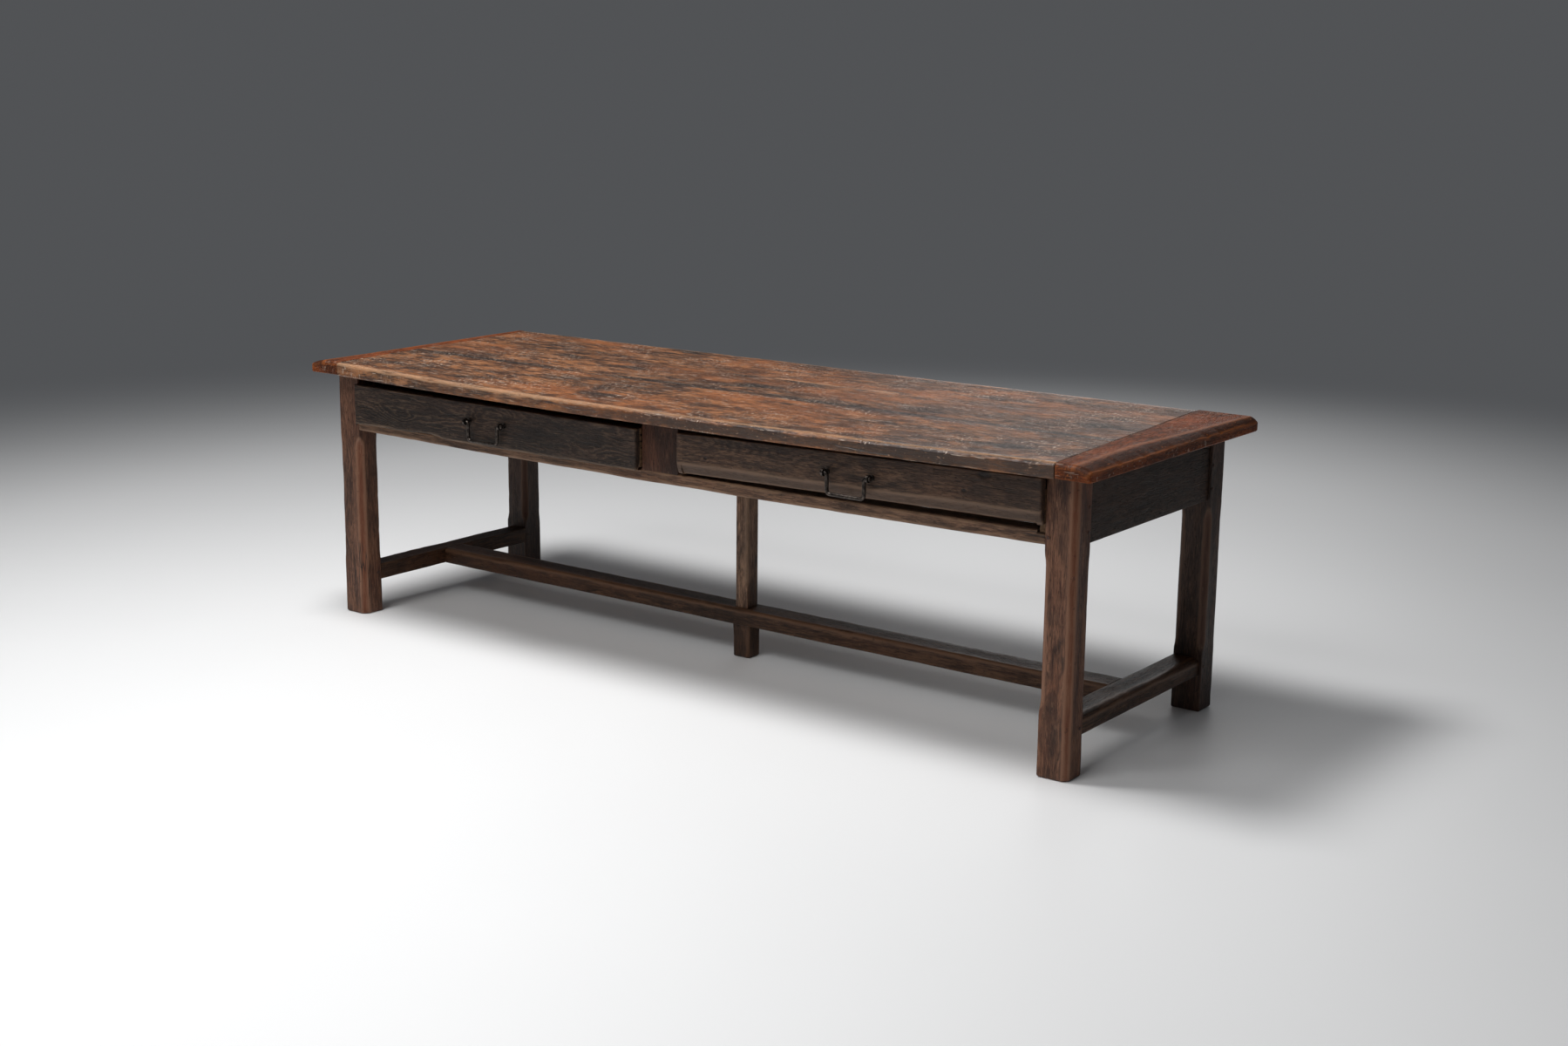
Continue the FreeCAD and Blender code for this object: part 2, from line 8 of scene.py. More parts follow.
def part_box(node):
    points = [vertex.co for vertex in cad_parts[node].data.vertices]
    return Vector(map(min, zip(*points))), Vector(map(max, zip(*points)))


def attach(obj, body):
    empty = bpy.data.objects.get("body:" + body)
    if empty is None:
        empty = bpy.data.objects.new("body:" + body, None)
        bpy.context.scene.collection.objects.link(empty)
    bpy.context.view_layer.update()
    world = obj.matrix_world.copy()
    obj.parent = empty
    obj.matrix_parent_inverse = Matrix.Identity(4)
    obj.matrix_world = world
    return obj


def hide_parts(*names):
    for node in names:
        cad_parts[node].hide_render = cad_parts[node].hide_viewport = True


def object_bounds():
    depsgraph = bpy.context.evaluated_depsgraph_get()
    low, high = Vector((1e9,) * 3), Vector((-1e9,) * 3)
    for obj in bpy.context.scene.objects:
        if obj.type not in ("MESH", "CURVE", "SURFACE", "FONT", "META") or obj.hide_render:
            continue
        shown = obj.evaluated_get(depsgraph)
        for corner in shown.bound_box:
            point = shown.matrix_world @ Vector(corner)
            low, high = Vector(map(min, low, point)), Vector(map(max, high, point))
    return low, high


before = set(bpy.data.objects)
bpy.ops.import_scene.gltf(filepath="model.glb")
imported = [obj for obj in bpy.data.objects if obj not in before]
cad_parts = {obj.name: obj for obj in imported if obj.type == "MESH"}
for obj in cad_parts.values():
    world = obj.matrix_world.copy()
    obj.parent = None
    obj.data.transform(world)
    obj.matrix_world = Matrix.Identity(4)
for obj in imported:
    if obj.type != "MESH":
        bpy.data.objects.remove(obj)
cad_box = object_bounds()

MM = 0.001
NEAR = 0.5 * MM

# Places read from the frame

def low(node):
    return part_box(node)[0]


def high(node):
    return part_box(node)[1]


def sides_of(node, axis):
    """The sides of a CAD timber's section, in the order that a timber along this axis takes them."""
    lo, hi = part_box(node)
    u, v = (axis + 1) % 3, (axis + 2) % 3
    return lo[u], hi[u], lo[v], hi[v]


def corners_near(node, axis, value):
    """The corners of a CAD node that lie at this value of an axis."""
    points = [v.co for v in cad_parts[node].data.vertices]
    return [p for p in points if abs(p[axis] - value) < NEAR]


FLOOR = cad_box[0].z
TOP_Z = high("top_board_middle").z
UNDER_TOP = low("top_board_middle").z
LEG_IN_X = low("leg_front_right").x
LEG_FRONT_Y = low("leg_front_right").y
LEG_IN_Y = low("leg_back_right").y
RAIL_TOP = high("drawer_rail").z
RAIL_BOTTOM = low("drawer_rail").z
STRETCHER_TOP = high("stretcher_long").z
STRETCHER_BOTTOM = low("stretcher_long").z
FRONT_EDGE = low("top_board_front").y
FRONT_JOINT = high("top_board_front").y
BACK_EDGE = high("top_board_back").y
BETWEEN_LEGS_X = (-LEG_IN_X, LEG_IN_X)
BETWEEN_LEGS_Y = (-LEG_IN_Y, LEG_IN_Y)


def cap_joint(side):
    """Where a breadboard's inner edge starts at the front, and how much it runs per metre of depth."""
    node, pick = ("breadboard_left", max) if side < 0 else ("breadboard_right", min)
    front = pick(p.x for p in corners_near(node, 1, FRONT_EDGE))
    back = pick(p.x for p in corners_near(node, 1, BACK_EDGE))
    return front, (back - front) / (BACK_EDGE - FRONT_EDGE)


def joint_x(side, y):
    start, skew = cap_joint(side)
    return start + skew * (y - FRONT_EDGE)


# Node trees written as expressions

class Wire:
    """An output socket of a node tree; arithmetic on it adds Math nodes."""

    def __init__(self, tree, socket):
        self.tree = tree
        self.socket = socket

    def add(self, kind, settings=None, inputs=None, out=0):
        """A node of this kind: its settings first, then what its sockets hold or are linked to."""
        node = self.tree.nodes.new(kind)
        for key, value in (settings or {}).items():
            setattr(node, key, value)
        for key, value in (inputs or {}).items():
            if isinstance(value, Wire):
                self.tree.links.new(value.socket, node.inputs[key])
            else:
                node.inputs[key].default_value = value
        return Wire(self.tree, node.outputs[out]) if len(node.outputs) else None

    def math(self, operation, *values):
        return self.add("ShaderNodeMath", {"operation": operation}, dict(enumerate(values)))

    def __add__(self, other):
        return self.math("ADD", self, other)

    __radd__ = __add__

    def __sub__(self, other):
        return self.math("SUBTRACT", self, other)

    def __rsub__(self, other):
        return self.math("SUBTRACT", other, self)

    def __mul__(self, other):
        return self.math("MULTIPLY", self, other)

    __rmul__ = __mul__

    def sine(self):
        return self.math("SINE", self)

    def size(self):
        return self.math("ABSOLUTE", self)

    def between(self, start, end):
        """0 below start, 1 above end, and a soft rise between them; it falls where end is less."""
        return self.add("ShaderNodeMapRange", {"interpolation_type": "SMOOTHSTEP"},
                        {"Value": self, "From Min": start, "From Max": end})

    def scaled(self, factors):
        return self.add("ShaderNodeVectorMath", {"operation": "MULTIPLY"}, {0: self, 1: factors})

    def moved(self, offset):
        return self.add("ShaderNodeVectorMath", {"operation": "ADD"}, {0: self, 1: offset})

    def cloud(self, detail=2.0, rough=0.5, twist=0.0):
        """Noise over these coordinates."""
        return self.add("ShaderNodeTexNoise", None,
                        {"Vector": self, "Scale": 1.0, "Detail": detail, "Roughness": rough, "Distortion": twist})

    def drift(self, detail):
        """Noise with a direction, about half a unit each way."""
        return self.add("ShaderNodeTexNoise", None, {"Vector": self, "Scale": 1.0, "Detail": detail},
                        1).moved((-0.5, -0.5, -0.5))

    def length(self):
        return self.add("ShaderNodeVectorMath", {"operation": "LENGTH"}, {0: self}, 1)

    def turned(self, angles, scale):
        return self.add("ShaderNodeMapping", None, {"Vector": self, "Rotation": angles, "Scale": scale})

    def pick(self, first, second):
        """A colour from first to second, by this share."""
        return self.add("ShaderNodeMix", {"data_type": "RGBA"}, {0: self, 6: first, 7: second}, 2)

    def part(self, name):
        """The X, Y or Z of these coordinates."""
        return self.add("ShaderNodeSeparateXYZ", None, {0: self}, name)

    def held(self, name):
        """A value kept on the piece's own mesh."""
        return self.add("ShaderNodeAttribute", {"attribute_name": name}, None, 2)


def new_finish(name):
    material = bpy.data.materials.new(name)
    material.use_nodes = True
    tree = material.node_tree
    tree.nodes.clear()
    return material, Wire(tree, tree.nodes.new("ShaderNodeTexCoord").outputs["Object"])


def close_finish(place, colour, rough, height, depth, **fixed):
    """The surface itself: colour, roughness and relief, with the values that are the same all over."""
    relief = place.add("ShaderNodeBump", None, {"Distance": depth, "Height": height})
    sockets = {"Base Color": colour, "Roughness": rough, "Normal": relief}
    sockets.update({key.replace("_", " "): value for key, value in fixed.items()})
    surface = place.add("ShaderNodeBsdfPrincipled", None, sockets)
    place.add("ShaderNodeOutputMaterial", None, {"Surface": surface})


def tone(red, green, blue):
    """A colour on a scale of 0 to 255, as the shader's linear colour."""
    def linear(value):
        value /= 255
        return value / 12.92 if value <= 0.04045 else ((value + 0.055) / 1.055) ** 2.4
    return (linear(red), linear(green), linear(blue), 1.0)


# Oak, forged iron and floor

# The floor's white, and how far from the middle it starts and ends to give way to the grey of the room
FLOOR_WHITE = (0.86, 0.86, 0.86, 1.0)
FLOOR_PALE = 3.0
FLOOR_END = 6.2
ROOM_GREY = (0.083, 0.086, 0.091, 1.0)


def shades(**levels):
    """The shades of one kind of oak. Where cut is left out, sawn faces take the warm one."""
    return {name: tone(*level) for name, level in levels.items()}


OAK = {
    "top": shades(heart=(70, 41, 25), pale=(154, 101, 62), grime=(35, 27, 23), worn=(188, 148, 116),
                  warm=(158, 92, 47), cut=(64, 49, 40)),
    # The breadboards' cut tone darkens their sloping outer rims: a sawn tint, and partly painted shade of slopes
    # turned from the light
    "cap": shades(heart=(74, 36, 18), pale=(124, 62, 28), grime=(40, 27, 21), worn=(184, 106, 54),
                  warm=(150, 74, 32), cut=(46, 28, 20)),
    "leg": shades(heart=(78, 47, 33), pale=(126, 87, 65), grime=(42, 29, 23), worn=(134, 99, 77),
                  warm=(106, 60, 37), cut=(104, 54, 29)),
    # The back legs: the leg oak made darker, as painted shade
    "leg_in_painted_shade": shades(heart=(48, 32, 25), pale=(84, 61, 48), grime=(29, 21, 17), worn=(104, 77, 59),
                       warm=(72, 41, 27), cut=(72, 39, 25)),
    "dark_drawer": shades(heart=(34, 24, 18), pale=(72, 54, 43), grime=(21, 16, 13), worn=(150, 122, 98),
                          warm=(54, 35, 24), cut=(84, 66, 53)),
    "drawer": shades(heart=(52, 36, 26), pale=(94, 69, 52), grime=(31, 22, 17), worn=(116, 91, 72),
                     warm=(80, 51, 33), cut=(76, 57, 44)),
    "rail": shades(heart=(70, 48, 35), pale=(122, 90, 68), grime=(38, 27, 21), worn=(136, 106, 82),
                   warm=(98, 62, 39)),
    "post": shades(heart=(98, 71, 54), pale=(164, 127, 100), grime=(42, 31, 25), worn=(146, 117, 94),
                   warm=(110, 73, 48)),
    "divider": shades(heart=(58, 36, 26), pale=(86, 56, 42), grime=(33, 22, 18), worn=(98, 71, 54),
                      warm=(82, 47, 31)),
    # The side aprons' oak: darker than the rail's, as painted shade under the top's overhang
    "apron": shades(heart=(36, 25, 18), pale=(64, 46, 35), grime=(24, 18, 14), worn=(90, 67, 52),
                    warm=(58, 36, 24)),
    "stretcher": shades(heart=(54, 35, 24), pale=(90, 63, 45), grime=(29, 21, 16), worn=(106, 77, 57),
                        warm=(80, 48, 29)),
    "inside": shades(heart=(90, 64, 44), pale=(124, 96, 69), grime=(58, 43, 32), worn=(132, 105, 78),
                     warm=(106, 75, 48)),
}
# Light scratches, and light dots that are painted glints
SCRATCH_AND_GLINT_TONE = tone(204, 184, 166)

# The noises that make up oak: marks in a metre across the grain; how long they are along it, as a fixed share and as
# a share of the timber's own draw (the smaller, the longer); then detail, roughness and twist
NOISES = {
    "clear": (14.0, 0.3, 0.0, 3.0, 0.5, 0.0),
    "patch": (26.0, 0.0, 1.0, 9.0, 0.72, 0.4),
    "fibre": (170.0, 0.0, 0.3, 4.0, 0.68, 0.0),
    "thread": (420.0, 0.06, 0.0, 3.0, 0.65, 0.0),
    "pores": (700.0, 0.07, 0.0, 1.0, 0.5, 0.0),
    "blotch": (6.0, 0.1, 1.0, 9.0, 0.7, 0.3),
    "smudge": (19.0, 0.0, 1.0, 8.0, 0.7, 0.4),
    "glow": (5.0, 0.4, 0.0, 6.0, 0.6, 0.0),
    "flecks": (190.0, 0.0, 1.0, 3.0, 0.6, 0.0),
    "shake": (16.0, 0.07, 0.0, 4.0, 0.55, 0.0),
}

# Where a noise begins to show as a mark, and where it shows in full
SHOWS = {"clear": (0.36, 0.62), "pores": (0.56, 0.66), "glow": (0.45, 0.66), "blotch": (0.47, 0.62),
         "smudge": (0.53, 0.62), "flecks": (0.63, 0.70)}

# How the growth rings stray: marks in a metre, their length along the grain, detail, and reach in metres
SWEEP = (4.0, 0.45, 2.0, 0.12)
WAVER = (34.0, 0.3, 3.0, 0.016)

# Scratches across the top: turn, how long they are, and where they show
SCRATCHES = ((0.35, 16.0, (0.70, 0.73)), (-0.9, 22.0, (0.71, 0.74)))
SCRATCH_FINE = 330.0

# How strongly the marks tint the oak
SAPWOOD = 0.25
SMUDGE = 0.85
SOOT = 0.09
SEAM_DARK = 0.85
STAIN = 0.8
PORE = 0.6
SAWN = 0.75
SHAKE = 0.85
PIT = 0.45

# Middle of the grain's noise, middle of its relief, how much of that is rubbed away on a worn edge, and its depth
MEAN_GRAIN = 0.5025
MEAN_RELIEF = 0.8
RUBBED = 0.8
RELIEF_DEPTH = 1.8 * MM


def along_grain(axis, across, stretch):
    """Factors that draw a pattern out along the grain."""
    factors = [across] * 3
    factors[axis] = across * stretch
    return tuple(factors)


def alike(value):
    return (value, value, value)


def away(point):
    """The shift that brings a point to the origin."""
    return tuple(-c for c in point)


def beside(node, x, y, z):
    """A point this far from the middle of a CAD node."""
    lo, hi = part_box(node)
    return (lo + hi) / 2 + Vector((x, y, z))


def oak(name, kind, axis, seed, pith, ring=5 * MM, ring_mark=0.4, coarse=0.2, draw=0.25, grime=0.5, warmth=0.5,
        rough=0.5, relief=1.0, wear=0.7, polish=0.12, shine=0.3, fleck=0.45, sharp=0.0675, scratches_and_glints=0.0, seam=None,
        knots=(), stains=(), sooty=None):
    """Old waxed oak. The grain runs along one axis, with growth rings round a line through the point pith.
    coarse is the share of broad marks, which draw stretches along the grain where it is small; sharp is half the
    breadth of a streak's soft edge; scratches_and_glints is the share of light scratches and of light dots that are
    painted glints; polish is how much smoother the worn edges are; seam is the Y of a dark joint in the top; knots
    are places with their sizes, and stains the same with a length along X; sooty is where X turns darker."""
    tones = OAK[kind]
    material, place = new_finish(name)
    spot = place.moved((3.7 * seed, 5.3 * seed, 2.9 * seed))
    arris, cut = place.held("arris"), place.held("cut")
    layer = {}
    for label, (across, length, drawn, *texture) in NOISES.items():
        layer[label] = spot.scaled(along_grain(axis, across, length + drawn * draw)).cloud(*texture)
    if sooty is not None:
        layer["blotch"] = layer["blotch"] + place.part("X").between(*sooty) * SOOT
    shown = {label: layer[label].between(*limits) for label, limits in SHOWS.items()}
    patch, fibre, thread = layer["patch"], layer["fibre"], layer["thread"]
    pits = spot.scaled(alike(85.0)).cloud(3.0).between(0.66, 0.72)
    shakes = (layer["shake"] - 0.5).size().between(0.012, 0.0)
    shakes = shakes * spot.scaled(alike(5.0)).cloud(2.0).between(0.52, 0.62)
    from_pith = place.moved(away(pith))
    for across, length, detail, reach in (SWEEP, WAVER):
        stray = spot.scaled(along_grain(axis, across, length)).drift(detail)
        from_pith = from_pith.moved(stray.scaled(alike(reach)))
    from_pith = from_pith.scaled(along_grain(axis, 1.0, 0.0))
    ring_line = (from_pith.length() * (2 * math.pi / ring)).sine() * 0.5 + 0.5

    grain = fibre * (0.42 - 0.2 * coarse) + thread * (0.3 - 0.1 * coarse) + patch * (0.28 + 0.3 * coarse)
    streak = grain.between(MEAN_GRAIN - sharp, MEAN_GRAIN + sharp)
    colour = streak.pick(tones["heart"], tones["pale"])
    rings = shown["clear"] * ring_mark
    colour = (ring_line.between(0.45, 0.95) * rings).pick(colour, tones["grime"])
    colour = (ring_line.between(0.3, 0.0) * rings * SAPWOOD).pick(colour, tones["worn"])
    colour = (shown["glow"] * warmth).pick(colour, tones["warm"])
    colour = (shown["blotch"] * grime).pick(colour, tones["grime"])
    colour = (shown["smudge"] * grime * SMUDGE).pick(colour, tones["grime"])
    if seam is not None:
        sway = spot.scaled((4.0, 0.0, 0.0)).cloud(3.0) * 0.03 + patch * 0.03 - 0.03
        band = (place.part("Y") - seam - sway).size().between(0.026, 0.008)
        colour = (band * layer["blotch"].between(0.30, 0.48) * SEAM_DARK).pick(colour, tones["grime"])
    for x0, y0, long, wide in stains:
        offset = place.moved((-x0, -y0, 0.0)).scaled((1 / long, 1 / wide, 0.0))
        spread = (offset.length() + patch * 2.6 - 1.3).between(1.1, 0.2)
        colour = (spread * STAIN).pick(colour, tones["grime"])
    colour = (shown["pores"] * PORE).pick(colour, tones["grime"])
    colour = (cut * SAWN).pick(colour, tones.get("cut", tones["warm"]))
    worn = (arris + fibre * 0.9 - 0.45).between(0.35, 1.0)
    colour = (worn * wear).pick(colour, tones["worn"])
    colour = (shown["flecks"] * fleck).pick(colour, tones["worn"])
    if scratches_and_glints:
        # The light dots are painted glints; the lines added below are scratches
        marks = spot.scaled((230.0, 75.0, 75.0)).cloud(2.0).between(0.61, 0.67)
        marks = marks * spot.scaled(alike(7.0)).cloud(3.0).between(0.46, 0.6)
        for turn, length, limits in SCRATCHES:
            lines = spot.turned((0.0, 0.0, turn), (length, SCRATCH_FINE, SCRATCH_FINE))
            marks = marks + lines.cloud(1.0).between(*limits)
        bare = (1 - cut - arris * 0.6).between(0.2, 0.9)
        colour = (marks * bare * scratches_and_glints).pick(colour, SCRATCH_AND_GLINT_TONE)
    dark = shakes * SHAKE + pits * PIT
    for centre, size in knots:
        offset = place.moved(away(centre)).scaled(along_grain(axis, 1 / size, 0.6))
        dark = dark + (offset.length() + patch * 1.2 - 0.6).between(1.0, 0.3)
    colour = dark.pick(colour, tones["grime"])

    height = fibre * 0.5 + thread * 0.3 + patch * (0.4 + coarse)
    height = height - ring_line * shown["clear"] * 0.12 - shown["pores"] * 0.3 - dark
    height = (height - MEAN_RELIEF) * (1 - arris * RUBBED)
    dull = fibre * 0.25 + shown["pores"] * 0.15 + layer["smudge"] * 0.25 - arris * polish + (rough - 0.27)
    close_finish(place, colour, dull, height, relief * RELIEF_DEPTH, Specular_IOR_Level=shine)
    return material


def end_grain(name, kind, seed, light):
    """Cut pegs: dark end grain with fine pores."""
    tones = OAK[kind]
    material, place = new_finish(name)
    spot = place.moved((1.3 * seed, 0.7 * seed, 2.1 * seed))
    speck = spot.scaled(alike(900.0)).cloud(2.0)
    patch = spot.scaled(alike(160.0)).cloud(2.0)
    colour = patch.between(0.35, 0.65).pick(tones["grime"], tones[light])
    colour = (speck.between(0.55, 0.65) * 0.6).pick(colour, tones["grime"])
    close_finish(place, colour, patch * 0.2 + 0.5, speck, 0.4 * MM)
    return material


def forged_iron(name):
    """Black wrought iron: hammered, handled smooth, with a little brown rust."""
    material, place = new_finish(name)
    dents = place.scaled(alike(150.0)).cloud(3.0)
    scale = place.scaled(alike(900.0)).cloud(3.0, 0.6)
    colour = dents.between(0.35, 0.7).pick(tone(44, 40, 38), tone(86, 78, 72))
    colour = (scale.between(0.56, 0.72) * 0.6).pick(colour, tone(62, 41, 30))
    close_finish(place, colour, scale * 0.3 + 0.2, dents + scale * 0.3, 0.4 * MM, Metallic=0.9)
    return material


def floor_paint(name):
    """Pale floor that gives way, far off, to the grey of the room."""
    material, place = new_finish(name)
    far = place.length().between(FLOOR_PALE, FLOOR_END)
    dust = place.scaled(alike(1.5)).cloud(4.0)
    paint = place.add("ShaderNodeBsdfPrincipled", None, {"Base Color": FLOOR_WHITE, "Roughness": dust * 0.1 + 0.45})
    room = place.add("ShaderNodeEmission", None, {"Color": ROOM_GREY})
    both = place.add("ShaderNodeMixShader", None, {0: far, 1: paint, 2: room})
    place.add("ShaderNodeOutputMaterial", None, {"Surface": both})
    return material


# Hewn timbers

# Steps round a corner, and the most of a side that a corner's cut takes
CORNER_STEPS = 5
WIDEST_CUT = 0.48

# Room between a corner and the next points, and the half width of a step in a timber's length
EDGE_MARGIN = 7 * MM
BREAK = 0.02 * MM

# Wear: the cut at which it is full, how far it fades over a side, and its share on the ends
FULL_WEAR = 7 * MM
WEAR_FADE = 9 * MM
END_WEAR = 0.6
THIN = 0.01 * MM

# The side that faces forward on a timber along X, and the roundness under which a corner's cut is a sawn one
FORE_SIDE = 3
SAWN_FLAT = 0.43

# Waves in a metre of a timber's swelling and of its dimples, and how much longer both are along it
SWELL_WAVES = 5
DIMPLE_WAVES = 34
LONG_WAVES = 0.45

# Shares and waves in a metre of the slow and the quick changes in an arris
SLOW_SHARE, SLOW_WAVES = 0.7, 6.0
QUICK_SHARE, QUICK_WAVES = 0.5, 31.0

# Sizes of the rings that close an end, and the angle past which an edge is sharp
END_RINGS = (0.7, 0.35)
SHARP_EDGE = math.radians(38)


def ripple(seed, *place):
    """Smooth noise from -1 to 1 at a place given by up to three lengths in noise units."""
    x, y, z = (list(place) + [0.0, 0.0])[:3]
    return noise.noise(Vector((x + 13.7 * seed, y + 7.9 * seed, z + 4.3 * seed)))


def arrises(sizes, seed, uneven=0.45):
    """Corner cuts that vary along a timber as wear does: sizes are across, up and roundness."""
    def cuts(s):
        made = []
        for k, (across, up, roundness) in enumerate(sizes):
            slow = SLOW_SHARE * ripple(seed + k, s * SLOW_WAVES)
            quick = QUICK_SHARE * ripple(seed - k, s * QUICK_WAVES)
            share = 1 + uneven * (slow + quick)
            made.append((across * share, up * share, roundness))
        return made
    return cuts


def even(size):
    """The same rounded cut on all four corners."""
    return [(size, size, 1.0)] * 4


def section_loop(bounds, cuts, inset, counts, fore):
    """Points round a timber's section against the clock, each with its shares of wear and of sawn chamfer."""
    u0, u1, v0, v1 = (b + i for b, i in zip(bounds, inset))
    corners = ((u0, v0), (u1, v0), (u1, v1), (u0, v1))
    enter = ((0, 1), (-1, 0), (0, -1), (1, 0))
    leave = ((1, 0), (0, 1), (-1, 0), (0, -1))
    limit_u, limit_v = WIDEST_CUT * (u1 - u0), WIDEST_CUT * (v1 - v0)
    turns = []
    for k, ((cu, cv), (eu, ev), (lu, lv), (du, dv, roundness)) in enumerate(zip(corners, enter, leave, cuts)):
        du, dv = min(du, limit_u), min(dv, limit_v)
        first = (cu + eu * du, cv + ev * dv)
        last = (cu + lu * du, cv + lv * dv)
        wear = min(1.0, max(du, dv) / FULL_WEAR)
        sawn = 1.0 if roundness < SAWN_FLAT and max(du, dv) > FULL_WEAR else 0.0
        turn = []
        for step in range(CORNER_STEPS + 1):
            t = step / CORNER_STEPS
            c, s = math.cos(t * math.pi / 2), math.sin(t * math.pi / 2)
            point = []
            for a, b, corner in zip(first, last, (cu, cv)):
                flat = a + (b - a) * t
                hub = a + b - corner
                arc = hub + (a - hub) * c + (b - hub) * s
                point.append(flat + (arc - flat) * roundness)
            hollow = (1 - min(1.0, FULL_WEAR / max(du, dv, THIN))) * math.sin(t * math.pi)
            worn = wear * (1 - hollow)
            # On a fore side that turns crisp, the light worn tint fades down the crest's slope: wear, and partly a
            # painted highlight
            if k == FORE_SIDE and fore[0]:
                worn = wear * (1 - fore[0] * t)
            turn.append((point[0], point[1], worn, sawn))
        turns.append(turn)
    loop = []
    for k, turn in enumerate(turns):
        loop += turn
        (a_u, a_v, a_wear, _), (b_u, b_v, b_wear, _) = turn[-1], turns[(k + 1) % 4][0]
        length = math.hypot(b_u - a_u, b_v - a_v)
        for share in counts[k]:
            fade_a = a_wear * math.exp(-share * length / WEAR_FADE)
            fade_b = b_wear * math.exp(-(1 - share) * length / WEAR_FADE)
            sawn, worn = fore if k == FORE_SIDE else (0.0, 0.0)
            loop.append((a_u + (b_u - a_u) * share, a_v + (b_v - a_v) * share, max(fade_a, fade_b, worn), sawn))
    return loop


def side_shares(length, step):
    """Where a side of this length is divided: near both its ends and evenly between."""
    if length < 4 * EDGE_MARGIN:
        return [0.5]
    edge = EDGE_MARGIN / length
    count = max(1, round((length - 2 * EDGE_MARGIN) / step))
    return [edge + (1 - 2 * edge) * i / count for i in range(count + 1)]


def end_rows(at, direction, radius):
    """Places and insets that round the end of a timber."""
    turns = [math.pi / 2 * i / CORNER_STEPS for i in range(CORNER_STEPS + 1)]
    return [(at + direction * radius * (1 - math.cos(a)), radius * (1 - math.sin(a))) for a in turns]


def set_out(axis, s, u, v):
    """A timber's own lengths as a place: u and v follow its axis in the order X, Y, Z, X, Y."""
    return ((s, u, v), (v, s, u), (u, v, s))[axis]


def hewn(name, axis, span, section, seed, ends=(2 * MM, 2 * MM), step=20 * MM, swell=0.6 * MM,
         dimple=0.25 * MM, ease=(1, 1, 1, 1), breaks=(), warp=None, fore=lambda s: (0.0, 0.0)):
    """A timber along an axis. section(s) gives its sides and corner cuts at s; breaks are where it steps;
    fore(s) is the shares of the chamfers' tint and of wear on its fore side."""
    start, stop = span
    rows = end_rows(start, 1, ends[0])
    first, last = rows[-1][0], stop - ends[1]
    count = max(2, round((last - first) / step))
    inner = [first + (last - first) * i / count for i in range(1, count)]
    inner += [b + side for b in breaks for side in (-BREAK, BREAK)]
    rows += [(s, 0.0) for s in sorted(inner)]
    rows += end_rows(stop, -1, ends[1])[::-1]

    bounds, _ = section((start + stop) / 2)
    wide, tall = bounds[1] - bounds[0], bounds[3] - bounds[2]
    counts = [side_shares(length, step) for length in (wide, tall, wide, tall)]
    signs = (1, -1, 1, -1)
    rings = []
    for s, inset in rows:
        bounds, cuts = section(s)
        loop = section_loop(bounds, cuts, [inset * sign * e for sign, e in zip(signs, ease)], counts, fore(s))
        end_wear = END_WEAR * min(1.0, inset / FULL_WEAR)
        rings.append([(u, v, max(wear, end_wear), sawn) for u, v, wear, sawn in loop])

    size = len(rings[0])
    points, marks, faces = [], [], []
    for (s, _), ring in zip(rows, rings):
        for j, (u, v, wear, sawn) in enumerate(ring):
            before, after = ring[j - 1], ring[(j + 1) % size]
            tangent = Vector((after[0] - before[0], after[1] - before[1]))
            out = Vector((tangent.y, -tangent.x)).normalized() if tangent.length else Vector((0, 0))
            at = set_out(axis, s * LONG_WAVES, u, v)
            rise = swell * ripple(seed, *(c * SWELL_WAVES for c in at))
            rise += dimple * ripple(seed + 3, *(c * DIMPLE_WAVES for c in at))
            place = set_out(axis, s, u + out.x * rise, v + out.y * rise)
            points.append(warp(*place) if warp else place)
            marks.append((wear, sawn))
    for i in range(len(rings) - 1):
        for j in range(size):
            k = (j + 1) % size
            faces.append((i * size + j, i * size + k, (i + 1) * size + k, (i + 1) * size + j))
    cap_end(points, marks, faces, list(range(size))[::-1])
    cap_end(points, marks, faces, list(range((len(rings) - 1) * size, len(rings) * size)))

    mesh = bpy.data.meshes.new(name)
    mesh.from_pydata(points, [], faces)
    for label, values in zip(("arris", "cut"), zip(*marks)):
        mesh.attributes.new(label, "FLOAT", "POINT").data.foreach_set("value", values)
    mesh.polygons.foreach_set("use_smooth", [True] * len(mesh.polygons))
    mesh.set_sharp_from_angle(angle=SHARP_EDGE)
    return mesh


def cap_end(points, marks, faces, ring):
    """Closes the end of a timber with two smaller rings and a middle point."""
    middle = sum((Vector(points[i]) for i in ring), Vector()) / len(ring)
    for share in END_RINGS:
        inner = []
        for i in ring:
            inner.append(len(points))
            points.append(tuple(middle.lerp(Vector(points[i]), share)))
            marks.append((0.0, 0.0))
        for j in range(len(ring)):
            k = (j + 1) % len(ring)
            faces.append((ring[j], ring[k], inner[k], inner[j]))
        ring = inner
    centre = len(points)
    points.append(tuple(middle))
    marks.append((0.0, 0.0))
    faces.extend((ring[j], ring[(j + 1) % len(ring)], centre) for j in range(len(ring)))


def piece(name, mesh, body, material, node):
    """A finished piece that moves with its body and stands for a CAD node."""
    mesh.materials.clear()
    mesh.materials.append(material)
    made = bpy.data.objects.new(name, mesh)
    bpy.context.scene.collection.objects.link(made)
    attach(made, body)
    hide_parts(node)


def timber(node, mesh, finish, body="table"):
    """The worn piece that stands for one CAD timber."""
    piece("worn_" + node, mesh, body, finish, node)


def clothe(node, material):
    """A CAD node that keeps its shape and gets a finish."""
    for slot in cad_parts[node].material_slots:
        slot.material = material


# The top: three boards between two breadboard ends

